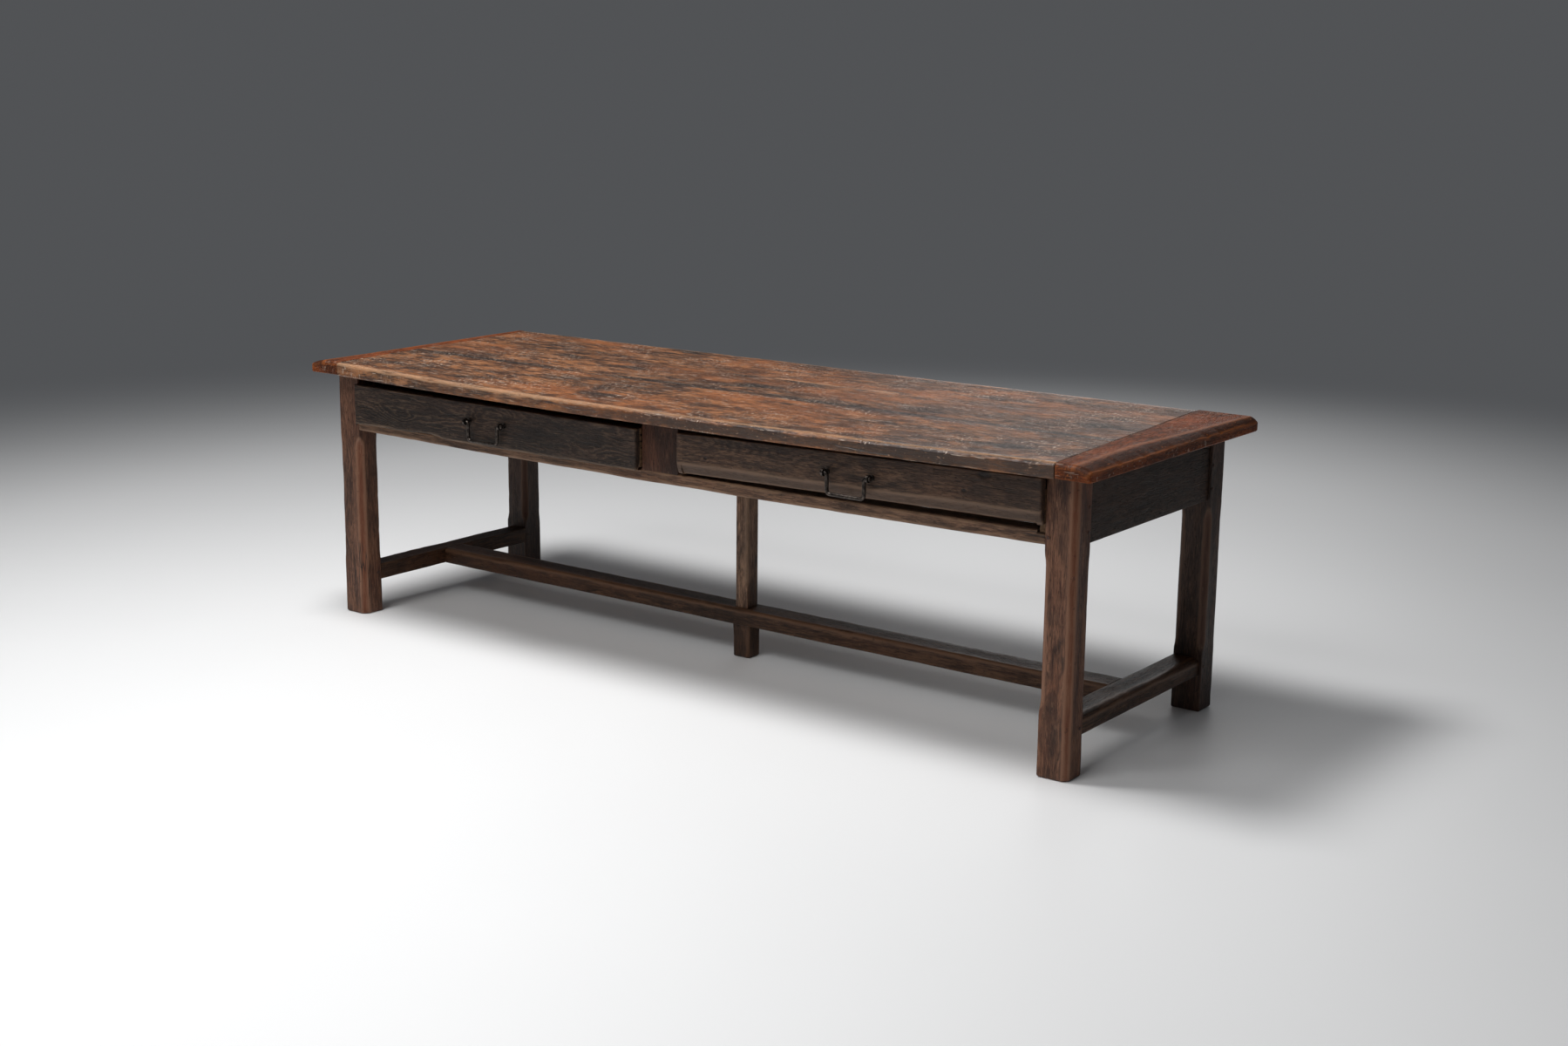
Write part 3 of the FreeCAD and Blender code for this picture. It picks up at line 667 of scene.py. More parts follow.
# Fall, breadth as a multiple of it, and roundness of the upper rims; the front one turns crisp from left to right
SOFT_RIM = (6 * MM, 1.2, 0.78)
CRISP_RIM = (7.5 * MM, 1.7, 0.44)
BACK_RIM = (8 * MM, 1.4, 0.78)
CRISP_START, CRISP_END = -0.6, 0.3
EDGE_WEAR = 0.5

# Sag of the front edge, the share of it that the underside takes, and where along X it lies
FRONT_SAG = 16.5 * MM
UNDER_SAG = 0.72
SAG_MIDDLE = -0.12
SAG_LEFT = 1.10
SAG_RIGHT = 1.30

# Joints between the boards: their wear above and below, and the one that has opened
SEAM_WEAR = 2.2 * MM
JOINT_ARRIS = (1 * MM, 1 * MM, 1.0)
OPEN_SEAM = (-0.02, 0.40)
GAPE = 3.0 * MM
DARK_JOINT = -0.1
SOOTY_FROM, SOOTY_TO = 0.2, 1.1

# Lower edge all round, and the breadboards' sloping outer rims
UNDER_CUT = (3.2 * MM, 3.2 * MM, 0.2)
CAP_SLOPE_FRONT = 82 * MM
CAP_SLOPE_BACK = 20 * MM
CAP_DROP = 13 * MM
# Kept under the sawn roundness, so the rims take the dark cut tone, which is partly painted shade
CAP_ROUNDNESS = 0.42
CAP_OVERRUN = 13 * MM
CAP_SHRINK = 0.4 * MM

# Knocks in worn edges: a seed of their own, waves in a metre, the level up to which there is none, and depth in mm
SMALL_KNOCKS = (0, 38.0, 0.35, 16)
BROAD_KNOCKS = (2, 13.0, 0.3, 14)

# How far in front of or behind the middle of a board the pith lay
TOP_PITHS = {"front": 0.05, "middle": -0.03, "back": 0.08}

# Old stains on the top: X, Y, and their reach along and across the boards
STAINS = {"front": ((-0.26, -0.325, 0.09, 0.035), (1.0, -0.30, 0.13, 0.06)),
          "middle": ((0.03, 0.0, 0.15, 0.055), (-0.48, 0.04, 0.12, 0.045), (-0.76, 0.10, 0.12, 0.04),
                     (1.05, 0.06, 0.10, 0.05)),
          "back": ((-0.52, 0.40, 0.10, 0.03), (0.65, 0.26, 0.12, 0.04), (0.80, 0.33, 0.10, 0.04))}


def knocks(seed, s):
    """How deep the knocks in a worn edge are at s: nothing over most of its length."""
    return sum(max(0.0, ripple(seed + own_seed, s * waves) - spared) * depth * MM
               for own_seed, waves, spared, depth in (SMALL_KNOCKS, BROAD_KNOCKS))


def seam_cut(seed, s, opened):
    """The eased edge of a joint between two boards, wider where the joint has opened."""
    gape = GAPE if opened and OPEN_SEAM[0] < s < OPEN_SEAM[1] else 0.0
    size = SEAM_WEAR * (1 + 0.6 * ripple(seed, s * 9.0)) + gape
    return (size * 0.7, size, 1.0)


def worn_rim(rim, seed, s):
    """The upper rim of the top, uneven and knocked."""
    drop, slope, roundness = rim
    share = 1 + 0.16 * ripple(seed, s * 3.1) + 0.14 * ripple(seed + 1, s * 17.0)
    nick = knocks(seed, s)
    return (drop * slope * share + nick, drop * share + 0.4 * nick, roundness)


def crispness(x):
    """0 on the left of the front edge, where it is worn soft, and 1 on the right."""
    t = min(1.0, max(0.0, (x - CRISP_START) / (CRISP_END - CRISP_START)))
    return t * t * (3 - 2 * t)


def front_sag(x):
    """How far the front edge of the top has sunk between the legs."""
    reach = SAG_RIGHT if x > SAG_MIDDLE else SAG_LEFT
    return FRONT_SAG * max(0.0, 1 - ((x - SAG_MIDDLE) / reach) ** 2)


def sunk(x, y):
    """How far the top has sunk at a place: only the front board, more towards its front edge."""
    return front_sag(x) * max(0.0, (FRONT_JOINT - y) / (FRONT_JOINT - FRONT_EDGE))


def top_board(place, seed):
    node = "top_board_" + place
    front_edge, *other_sides = low(node).y, high(node).y, UNDER_TOP, TOP_Z

    def section(s):
        front_top, back_top = seam_cut(seed, s, place == "back"), seam_cut(seed + 5, s, place == "middle")
        if place == "front":
            rim = [a + (b - a) * crispness(s) for a, b in zip(SOFT_RIM, CRISP_RIM)]
            front_top = worn_rim(rim, seed, s)
        if place == "back":
            back_top = worn_rim(BACK_RIM, seed, s)
        front_low = UNDER_CUT if place == "front" else JOINT_ARRIS
        back_low = UNDER_CUT if place == "back" else JOINT_ARRIS
        sway = 1.4 * MM * ripple(seed + 7, s * 4.0) if place == "front" else 0.0
        return (front_edge + sway, *other_sides), (front_low, back_low, back_top, front_top)

    skew = cap_joint(1)[1]

    def settle(x, y, z):
        """Shears the board to its slanting ends, and lets it sink, its underside a little less."""
        x += skew * y
        share = UNDER_SAG + (1 - UNDER_SAG) * (z - UNDER_TOP) / (TOP_Z - UNDER_TOP)
        return x, y, z - sunk(x, y) * share

    def fore(s):
        """The front edge is dark and sharp on the right, its crest there lighter from wear and partly as a painted
        highlight, and rubbed light on the left.
        """
        return (crispness(s), EDGE_WEAR * (1 - crispness(s))) if place == "front" else (0.0, 0.0)

    span = (joint_x(-1, 0.0) + CAP_SHRINK, joint_x(1, 0.0) - CAP_SHRINK)
    mesh = hewn(node, 0, span, section, seed, ends=(1.5 * MM, 1.5 * MM), step=10 * MM,
                swell=1.1 * MM, dimple=0.35 * MM, warp=settle, fore=fore)
    darkest = {} if place == "back" else {"seam": DARK_JOINT, "sooty": (SOOTY_FROM, SOOTY_TO)}
    finish = oak("oak_top_" + place, "top", 0, seed, beside(node, 0.0, TOP_PITHS[place], -0.14), ring=16 * MM,
                 ring_mark=0.3, coarse=0.9, draw=0.36, grime=0.62, warmth=0.65, rough=0.46, relief=1.6, wear=0.6,
                 polish=0.28, shine=0.34, sharp=0.034, scratches_and_glints=0.85, stains=STAINS[place], **darkest)
    timber(node, mesh, finish)


def breadboard(name, side, seed):
    node = "breadboard_" + name
    rim = side * max(abs(low(node).x), abs(high(node).x))
    length = BACK_EDGE - FRONT_EDGE

    def section(s):
        share = (s - FRONT_EDGE) / length
        slope = CAP_SLOPE_FRONT + (CAP_SLOPE_BACK - CAP_SLOPE_FRONT) * share
        nick = 0.6 * knocks(seed, s)
        drop = CAP_DROP * (1 + 0.22 * ripple(seed, s * 5.0) + 0.15 * ripple(seed + 1, s * 19.0))
        # This roundness gives the rim the dark cut tone, partly painted shade
        rim_top = (drop + nick, slope * (1 + 0.2 * ripple(seed + 4, s * 4.0)), CAP_ROUNDNESS)
        joint_top = (SEAM_WEAR, SEAM_WEAR, 1.0)
        inner = joint_x(side, s)
        outer = rim + side * 1.2 * MM * ripple(seed + 6, s * 6.0)
        if side > 0:
            return (UNDER_TOP, TOP_Z, inner, outer), (JOINT_ARRIS, joint_top, rim_top, UNDER_CUT)
        return (UNDER_TOP, TOP_Z, outer, inner), (UNDER_CUT, rim_top, joint_top, JOINT_ARRIS)

    ease = (0.25, 1.0, 0.1, 0.7) if side > 0 else (0.25, 1.0, 0.7, 0.1)
    span = (FRONT_EDGE, BACK_EDGE + (CAP_OVERRUN if side > 0 else 0.0))
    mesh = hewn(node, 1, span, section, seed, ends=(12 * MM, 10 * MM), step=8 * MM,
                swell=0.9 * MM, dimple=0.3 * MM, ease=ease)
    finish = oak("oak_cap_" + name, "cap", 1, seed, beside(node, 0.03, 0.0, -0.1), coarse=0.5, draw=0.4,
                 warmth=0.8, rough=0.6, wear=0.35, shine=0.14, scratches_and_glints=0.3)
    timber(node, mesh, finish)


for board, number in (("front", 1.0), ("middle", 2.0), ("back", 3.0)):
    top_board(board, number)
breadboard("left", -1, 4.0)
breadboard("right", 1, 5.0)


# Legs with stopped chamfers

BROADEST_CHAMFER = 16 * MM
BROAD_CHAMFER = 13 * MM
MIDDLE_CHAMFER = 9 * MM
SLIGHT_CHAMFER = 4 * MM
ARRIS = 2 * MM
CHAMFER_STOP = 24 * MM
CHAMFER_MARGIN = 14 * MM

# Rounding of an end that stands against another timber
JOINT_END = 0.5 * MM

# Where the pith lay, in X and Y from the middle of each leg
LEG_PITHS = {"leg_front_left": (0.02, 0.09), "leg_front_right": (-0.005, 0.05), "leg_back_left": (0.03, 0.11),
             "leg_back_right": (0.16, 0.02)}


def stopped(z, bottom, top):
    """0 outside the chamfer, 1 along it, and a straight run at each stop."""
    rise = min(1.0, max(0.0, (z - bottom) / CHAMFER_STOP))
    fall = min(1.0, max(0.0, (top - z) / CHAMFER_STOP))
    return min(rise, fall)


def leg(place, side, seed):
    node = "leg_" + place + "_" + side
    sides = sides_of(node, 2)
    above = STRETCHER_TOP + CHAMFER_MARGIN
    below = RAIL_BOTTOM - CHAMFER_MARGIN
    first = (place, side) == ("front", "left")
    near_left, near_right = (SLIGHT_CHAMFER, BROADEST_CHAMFER) if first else (MIDDLE_CHAMFER, BROAD_CHAMFER)

    def section(z):
        cuts = []
        for k, size in enumerate((near_left, near_right, SLIGHT_CHAMFER, BROAD_CHAMFER)):
            bottom, top = above, below
            if k == 1 and place == "front":
                bottom = FLOOR - CHAMFER_STOP
                top = UNDER_TOP + CHAMFER_STOP if side == "right" else below
            share = stopped(z, bottom, top)
            cut = ARRIS + (size - ARRIS) * share * (1 + 0.12 * ripple(seed + k, z * 9.0))
            cut += 0.25 * knocks(seed + k, z)
            cuts.append((cut, cut, 1.0 - 0.75 * share))
        return sides, cuts

    mesh = hewn(node, 2, (FLOOR, UNDER_TOP), section, seed, ends=(6 * MM, JOINT_END), step=12 * MM,
                swell=1.0 * MM, dimple=0.4 * MM)
    # The back legs take a darker copy of the leg oak: painted shade
    finish = oak("oak_" + node, "leg" if place == "front" else "leg_in_painted_shade", 2, seed,
                 beside(node, *LEG_PITHS[node], 0.0), ring=6 * MM, ring_mark=0.55, warmth=0.6, rough=0.58)
    timber(node, mesh, finish)


for number, (place, side) in enumerate((p, s) for p in ("front", "back") for s in ("left", "right")):
    leg(place, side, 11.0 + number)


# Aprons, drawer rail, divider and stretchers

# The drawer rail: its sag, its rise at the ends and to the right, the groove under the right drawer's outer side,
# and the cove and room behind the left front's hanging edge
RAIL_SAG = 4 * MM
RAIL_END_RISE = 4 * MM
RAIL_RIGHT_RISE = 4.5 * MM
RAIL_RISE_START = 0.45
RAIL_GROOVE = 1.6 * MM
RAIL_ARRIS = (5 * MM, 4 * MM, 1.0)
SIDE_ROOM = 4 * MM
LIP_COVE = 28 * MM
LIP_ROOM = 2 * MM

# Corner cuts of the stretchers; on the end ones the outer upper edge is worn most
SMALL_CUT = (3 * MM, 3 * MM, 1.0)
FOOT_WORN = (12 * MM, 16 * MM, 0.9)
LONG_WORN = [SMALL_CUT, SMALL_CUT, (7 * MM, 6 * MM, 1.0), (9 * MM, 7 * MM, 0.9)]
BOTH_JOINTED = (JOINT_END, JOINT_END)
DIVIDER_OVERLAP = 5 * MM
POST_CHAMFER = 6 * MM
POST_STOP = 50 * MM
FOOT_FLARE = 3 * MM


def straight(node, axis, span, sizes, seed, kind, uneven=0.45, **shape):
    """A plain straight timber of the table's frame."""
    sides, cuts = sides_of(node, axis), arrises(sizes, seed, uneven)
    mesh = hewn(node, axis, span, lambda s: (sides, cuts(s)), seed, **shape)
    finish = oak("oak_" + node, kind, axis, seed, beside(node, 0.05, 0.07, -0.06), grime=0.6, rough=0.52, shine=0.2)
    timber(node, mesh, finish)


def drawer_rail(seed):
    node = "drawer_rail"
    side_path = low("drawer_right_side_right").x - SIDE_ROOM
    rail_back = high(node).y
    back_arris = (ARRIS, ARRIS, 1.0)
    cuts = arrises([RAIL_ARRIS, back_arris, back_arris, RAIL_ARRIS], seed, 0.6)
    lip_start, lip_stop = low("drawer_left_front").x, high("drawer_left_front").x
    lip_line = lower_edge("left")

    def cove(x, top, arris):
        """The front arris, hollowed out where the left drawer's front hangs below the top of the rail."""
        if not lip_start - LIP_ROOM < x < lip_stop + LIP_ROOM:
            return arris
        hang = top - lip_line(x)
        share = min(1.0, max(0.0, (hang + LIP_ROOM / 2) / LIP_ROOM))
        hollow = (LIP_COVE, hang + LIP_ROOM, -1.0)
        return tuple(a + (h - a) * share for a, h in zip(arris, hollow))

    def section(x):
        bow = 1 - (x / LEG_IN_X) ** 2
        bottom = RAIL_BOTTOM + RAIL_END_RISE * (1 - bow) - RAIL_SAG * bow + 1.2 * MM * ripple(seed, x * 7.0)
        top = RAIL_TOP - 0.7 * RAIL_SAG * bow + 0.8 * MM * min(0.0, ripple(seed + 1, x * 6.0))
        if RAIL_RISE_START < x < side_path:
            top += RAIL_RIGHT_RISE * (x - RAIL_RISE_START) / (side_path - RAIL_RISE_START)
        elif x >= side_path:
            top -= RAIL_GROOVE
        *others, front_top = cuts(x)
        return (LEG_FRONT_Y, rail_back, bottom, top), (*others, cove(x, top, front_top))

    mesh = hewn(node, 0, BETWEEN_LEGS_X, section, seed, ends=BOTH_JOINTED, step=12 * MM, swell=0.4 * MM,
                dimple=0.5 * MM, breaks=(side_path, lip_start - LIP_ROOM, lip_stop + LIP_ROOM))
    finish = oak("oak_" + node, "rail", 0, seed, beside(node, 0.0, 0.06, 0.04), warmth=0.4, rough=0.58,
                 relief=1.8)
    timber(node, mesh, finish)


def middle_post(seed):
    node = "middle_post"
    sides = sides_of(node, 2)
    small = (ARRIS, ARRIS, 1.0)

    def section(z):
        share = stopped(z, STRETCHER_TOP + POST_STOP, RAIL_BOTTOM + POST_STOP)
        cut = ARRIS + (POST_CHAMFER - ARRIS) * share * (1 + 0.2 * ripple(seed, z * 9.0))
        return sides, (small, (cut, cut, 1.0 - 0.7 * share), small, small)

    mesh = hewn(node, 2, (STRETCHER_TOP, RAIL_BOTTOM), section, seed, ends=BOTH_JOINTED, step=11 * MM,
                swell=0.8 * MM, dimple=0.4 * MM)
    finish = oak("oak_" + node, "post", 2, seed, beside(node, 0.02, 0.07, 0.0), rough=0.57)
    timber(node, mesh, finish)


def middle_foot(seed):
    node = "middle_foot"
    x0, x1, y0, y1 = sides_of(node, 2)
    small = (ARRIS, ARRIS, 1.0)
    broad = (POST_CHAMFER, POST_CHAMFER, 0.4)

    def section(z):
        flare = FOOT_FLARE * max(0.0, (z - 0.6 * STRETCHER_BOTTOM) / (0.4 * STRETCHER_BOTTOM))
        return (x0 - flare, x1 + 0.5 * flare, y0, y1), (small, broad, small, small)

    mesh = hewn(node, 2, (FLOOR, STRETCHER_BOTTOM), section, seed, ends=(5 * MM, JOINT_END), step=9 * MM,
                swell=0.7 * MM, dimple=0.4 * MM)
    finish = oak("oak_" + node, "stretcher", 2, seed, beside(node, 0.02, 0.07, 0.0), grime=0.6, rough=0.57)
    timber(node, mesh, finish)


APRON_CUTS = even(2.5 * MM)
# The side aprons take the darker apron oak, which is painted shade; the back apron takes the rail's oak
straight("apron_left", 1, BETWEEN_LEGS_Y, APRON_CUTS, 21.0, "apron")
straight("apron_right", 1, BETWEEN_LEGS_Y, APRON_CUTS, 22.0, "apron")
straight("apron_back", 0, BETWEEN_LEGS_X, APRON_CUTS, 23.0, "rail")
straight("drawer_divider", 2, (RAIL_TOP - DIVIDER_OVERLAP, UNDER_TOP), APRON_CUTS, 25.0, "divider", step=14 * MM)
for name, number, worn_corner in (("left", 26.0, 1), ("right", 27.0, 2)):
    sizes = [FOOT_WORN if corner == worn_corner else SMALL_CUT for corner in range(4)]
    straight("stretcher_" + name, 1, BETWEEN_LEGS_Y, sizes, number, "stretcher", step=14 * MM, swell=0.9 * MM,
             dimple=0.5 * MM, ends=BOTH_JOINTED)
straight("stretcher_long", 0, BETWEEN_LEGS_X, LONG_WORN, 28.0, "stretcher", uneven=0.6, step=13 * MM,
         swell=1.0 * MM, dimple=0.6 * MM, ends=BOTH_JOINTED)
middle_post(29.0)
middle_foot(30.0)


# Drawers

# Knots on the right front: place and size
KNOTS = (((0.991, -0.397, 0.702), 0.015), ((0.939, -0.397, 0.658), 0.006), ((0.167, -0.397, 0.639), 0.005))

# Where the lower edge of the left front is worn, as shares of its length, and how many mm it hangs or rises
LEFT_EDGE = ((0.0, -4.5), (0.10, -4.0), (0.20, -4.2), (0.245, -1.5), (0.285, 0.3), (0.315, -3.0), (0.345, -8.5),
             (0.45, -9.2), (1.0, -7.0))
LEFT_UNDERCUT = (28 * MM, 9 * MM, 0.1)

# The right front's lip: how much lower it reaches, how deep it is, and its height
RIGHT_LIP = 5 * MM
LIP_DEPTH = 6 * MM
LIP_HEIGHT = 8 * MM

# Notch at the fore end of the right drawer's right side, lower bevels of the fronts, and their other edges
SHORT_TOE = 10 * MM
BEVELS = {"left": (4 * MM, 4 * MM, 0.8), "right": (20 * MM, 27 * MM, 0.4)}
FRONT_ARRIS = 3 * MM
THIN_ARRIS = 1 * MM


def along_edge(share):
    """Height of the left front's worn edge over its straight line, eased between the places given."""
    for (a, low_a), (b, low_b) in zip(LEFT_EDGE, LEFT_EDGE[1:]):
        if share <= b:
            t = (share - a) / (b - a)
            return (low_a + (low_b - low_a) * t * t * (3 - 2 * t)) * MM
    return LEFT_EDGE[-1][1] * MM


def lower_edge(name):
    """The height of a drawer front's lower edge along X."""
    node = "drawer_" + name + "_front"
    x0, x1 = low(node).x, high(node).x
    left, right = [min(p.z for p in corners_near(node, 0, x)) for x in (x0, x1)]

    def height(x):
        share = min(1.0, max(0.0, (x - x0) / (x1 - x0)))
        return left + (right - left) * share + (along_edge(share) if name == "left" else 0.0)
    return height


def drawer_front(name, seed):
    node = "drawer_" + name + "_front"
    x0, x1 = low(node).x, high(node).x
    face, back = low(node).y, high(node).y
    rebate = low("drawer_" + name + "_side_left").y
    side = high("drawer_" + name + "_side_left").x - x0
    edge = lower_edge(name)
    high_left, high_right = [max(p.z for p in corners_near(node, 0, x)) for x in (x0, x1)]
    thin = (THIN_ARRIS, THIN_ARRIS, 1.0)

    def underside(x):
        return edge(x) + 0.6 * MM * abs(ripple(seed, x * 8.0))

    def back_at(x):
        return rebate if min(x - x0, x1 - x) < side else back

    def section(x):
        share = (x - x0) / (x1 - x0)
        top = high_left + (high_right - high_left) * share - 0.8 * MM * abs(ripple(seed + 1, x * 7.0))
        inner = back_at(x)
        across, up, roundness = BEVELS[name]
        vary = 1 + 0.15 * ripple(seed + 2, x * 6.0)
        worn = FRONT_ARRIS * (1 + 0.5 * ripple(seed + 3, x * 15.0))
        under = (LEFT_UNDERCUT[0] - back + inner, *LEFT_UNDERCUT[1:]) if name == "left" else thin
        return (face, inner, underside(x), top), ((across, up * vary, roundness), under, thin, (worn, worn, 1.0))

    def lower_lip(x, y, z):
        """The bevelled front reaches a little lower behind its bevel, more towards its raised end."""
        if name == "right" and y > back_at(x) - LIP_DEPTH and z < underside(x) + LIP_HEIGHT:
            z -= RIGHT_LIP * (x - x0) / (x1 - x0)
        return x, y, z

    mesh = hewn(node, 0, (x0, x1), section, seed, ends=(5 * MM, 5 * MM), step=10 * MM, swell=0.6 * MM,
                dimple=0.35 * MM, ease=(1.0, 0.0, 0.8, 0.6), breaks=(x0 + side, x1 - side), warp=lower_lip)
    knots = KNOTS if name == "right" else ()
    finish = oak("oak_" + node, "drawer" if name == "right" else "dark_drawer", 0, seed,
                 beside(node, 0.0, 0.1, 0.03), ring=3.6 * MM, ring_mark=0.6, warmth=0.35, rough=0.6, relief=1.6,
                 fleck=0.15, sharp=0.045, knots=knots)
    timber(node, mesh, finish, "drawer_" + name)


def drawer_box(name, seed):
    """Sides, back and bottom, of plain unwaxed boards."""
    body = "drawer_" + name
    prefix = body + "_"
    pith = beside(prefix + "bottom", 0.0, 0.1, 0.15)
    finish_along = {axis: oak("oak_inside_" + name + "_" + "xyz"[axis], "inside", axis, seed + axis, pith,
                              grime=0.4, warmth=0.3, rough=0.68) for axis in (0, 1)}
    for k, end in enumerate(("left", "right")):
        node = prefix + "side_" + end
        lo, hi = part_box(node)
        toe = min(p.z for p in corners_near(node, 1, lo.y))
        toe_end = lo.y + SHORT_TOE if name == end == "right" else min(p.y for p in corners_near(node, 2, lo.z))
        cuts = arrises(even(1.5 * MM), seed + k, 0.4)
        mesh = hewn(node, 1, (lo.y, hi.y),
                    lambda s: ((toe if s < toe_end else lo.z, hi.z, lo.x, hi.x), cuts(s)), seed + 2 + k,
                    ends=(0.6 * MM, 1.5 * MM), step=18 * MM, swell=0.3 * MM, dimple=0.2 * MM, breaks=(toe_end,))
        timber(node, mesh, finish_along[1], body)
    for k, end in enumerate(("back", "bottom")):
        node = prefix + end
        lo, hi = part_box(node)
        cuts = arrises(even(1.2 * MM), seed + 5 + k, 0.4)
        mesh = hewn(node, 0, (lo.x, hi.x), lambda s: ((lo.y, hi.y, lo.z, hi.z), cuts(s)), seed + 7 + k,
                    ends=(0.4 * MM, 0.4 * MM), step=24 * MM, swell=0.2 * MM, dimple=0.15 * MM)
        timber(node, mesh, finish_along[0], body)


# The rail comes here because its cove follows the left front's lower edge
drawer_rail(24.0)
for name, number in (("left", 41.0), ("right", 51.0)):
    drawer_front(name, number)
    drawer_box(name, number + 2)


# Geometry Nodes: pegs and nail heads, and the forged rods of the bails

BEND_STEPS = 8
BEAD_FINENESS = 3
BEAD_SCALE = (0.55, 1.0, 1.0)


def geometry_tree(name, sockets):
    """A tree with named inputs, and a wire from each of them."""
    tree = bpy.data.node_groups.new(name, "GeometryNodeTree")
    tree.interface.new_socket("Made", in_out="OUTPUT", socket_type="NodeSocketGeometry")
    for label, kind in [("Points", "Geometry")] + sockets:
        tree.interface.new_socket(label, in_out="INPUT", socket_type="NodeSocket" + kind)
    given = tree.nodes.new("NodeGroupInput")
    return tree, {s.name: Wire(tree, s) for s in given.outputs if s.name}


def close_tree(made, finish):
    """Realize Instances, Set Material and the tree's output."""
    made = made.add("GeometryNodeRealizeInstances", None, {"Geometry": made})
    made = made.add("GeometryNodeSetMaterial", None, {"Geometry": made, "Material": finish})
    made.add("NodeGroupOutput", None, {0: made})


def named(wire, name, kind):
    return wire.add("GeometryNodeInputNamedAttribute", {"data_type": kind}, {"Name": name})


def fixings_tree():
    """A faceted stub on each point: facing is its line and reach its length."""
    tree, given = geometry_tree("fixings", [("Radius", "Float"), ("Facets", "Int"), ("Uneven", "Float"),
                                            ("Seed", "Int"), ("Finish", "Material")])
    points = given["Points"]
    stub = points.add("GeometryNodeMeshCylinder", {"fill_type": "TRIANGLE_FAN"},
                      {"Vertices": given["Facets"], "Radius": given["Radius"], "Depth": 1.0})
    turn = points.add("FunctionNodeRandomValue", {"data_type": "FLOAT"},
                      {2: 0.0, 3: 2 * math.pi, "Seed": given["Seed"]}, 1)
    spread = points.add("FunctionNodeRandomValue", {"data_type": "FLOAT"},
                        {2: 1 - given["Uneven"], 3: 1 + given["Uneven"], "Seed": given["Seed"]}, 1)
    spin = points.add("FunctionNodeAxisAngleToRotation", None, {"Axis": (0, 0, 1), "Angle": turn})
    line = points.add("FunctionNodeAlignRotationToVector", {"axis": "Z"},
                      {"Vector": named(points, "facing", "FLOAT_VECTOR")})
    line = points.add("FunctionNodeRotateRotation", {"rotation_space": "LOCAL"}, {0: line, 1: spin})
    scale = points.add("ShaderNodeCombineXYZ", None, {0: spread, 1: spread, 2: named(points, "reach", "FLOAT")})
    made = points.add("GeometryNodeInstanceOnPoints", None,
                      {"Points": points, "Instance": stub, "Rotation": line, "Scale": scale})
    close_tree(made, given["Finish"])
    return tree


def rod_tree():
    """A forged rod along a bent line: bend rounds each corner, and a bead closes each tip."""
    tree, given = geometry_tree("forged_rod", [("Radius", "Float"), ("Sides", "Int"), ("Spacing", "Float"),
                                               ("Bead", "Float"), ("Hammering", "Float"), ("Finish", "Material")])
    points = given["Points"]
    line = points.add("GeometryNodeMeshToCurve", None, {"Mesh": points})
    line = line.add("GeometryNodeFilletCurve", {"mode": "POLY"},
                    {"Curve": line, "Count": BEND_STEPS, "Radius": named(line, "bend", "FLOAT"),
                     "Limit Radius": True})
    line = line.add("GeometryNodeResampleCurve", {"mode": "LENGTH"}, {"Curve": line, "Length": given["Spacing"]})
    ring = line.add("GeometryNodeCurvePrimitiveCircle", {"mode": "RADIUS"},
                    {"Resolution": given["Sides"], "Radius": given["Radius"]})
    rod = line.add("GeometryNodeCurveToMesh", None, {"Curve": line, "Profile Curve": ring, "Fill Caps": True})
    bead = line.add("GeometryNodeMeshIcoSphere", None, {"Radius": given["Bead"], "Subdivisions": BEAD_FINENESS})
    beads = line.add("GeometryNodeInstanceOnPoints", None,
                     {"Points": points, "Selection": named(line, "tip", "BOOLEAN"), "Instance": bead,
                      "Scale": BEAD_SCALE})
    both = line.add("GeometryNodeJoinGeometry")
    for part in (rod, line.add("GeometryNodeRealizeInstances", None, {"Geometry": beads})):
        tree.links.new(part.socket, both.socket.node.inputs[0])
    place = line.add("GeometryNodeInputPosition").scaled(alike(130.0))
    dent = (place.cloud(2.0) - 0.5) * given["Hammering"]
    shift = line.add("ShaderNodeVectorMath", {"operation": "SCALE"},
                     {0: line.add("GeometryNodeInputNormal"), "Scale": dent})
    made = line.add("GeometryNodeSetPosition", None, {"Geometry": both, "Offset": shift})
    made = line.add("GeometryNodeSetShadeSmooth", None, {"Geometry": made, "Shade Smooth": True})
    close_tree(made, given["Finish"])
    return tree


def grown(name, tree, seedbed, settings):
    """Runs a tree on a mesh of points and keeps what it makes as a plain mesh."""
    bed = bpy.data.objects.new(name, seedbed)
    bpy.context.scene.collection.objects.link(bed)
    modifier = bed.modifiers.new("tree", "NODES")
    modifier.node_group = tree
    for item in tree.interface.items_tree:
        if item.in_out == "INPUT" and item.name in settings:
            modifier[item.identifier] = settings[item.name]
    bpy.context.view_layer.update()
    made = bpy.data.meshes.new_from_object(bed.evaluated_get(bpy.context.evaluated_depsgraph_get()))
    bed.modifiers.remove(modifier)
    bpy.data.objects.remove(bed)
    made.name = name
    return made


def solids_of(node):
    """The box of each separate solid of a CAD node, in the order of their places."""
    mesh = bmesh.new()
    mesh.from_mesh(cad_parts[node].data)
    bmesh.ops.remove_doubles(mesh, verts=mesh.verts, dist=0.01 * MM)
    left = set(mesh.verts)
    boxes = []
    while left:
        group, front = set(), [left.pop()]
        while front:
            vert = front.pop()
            group.add(vert)
            for edge in vert.link_edges:
                other = edge.other_vert(vert)
                if other in left:
                    left.remove(other)
                    front.append(other)
        spread = [[v.co[i] for v in group] for i in range(3)]
        boxes.append((Vector([min(c) for c in spread]), Vector([max(c) for c in spread])))
    mesh.free()
    return sorted(boxes, key=lambda box: tuple(box[0]))


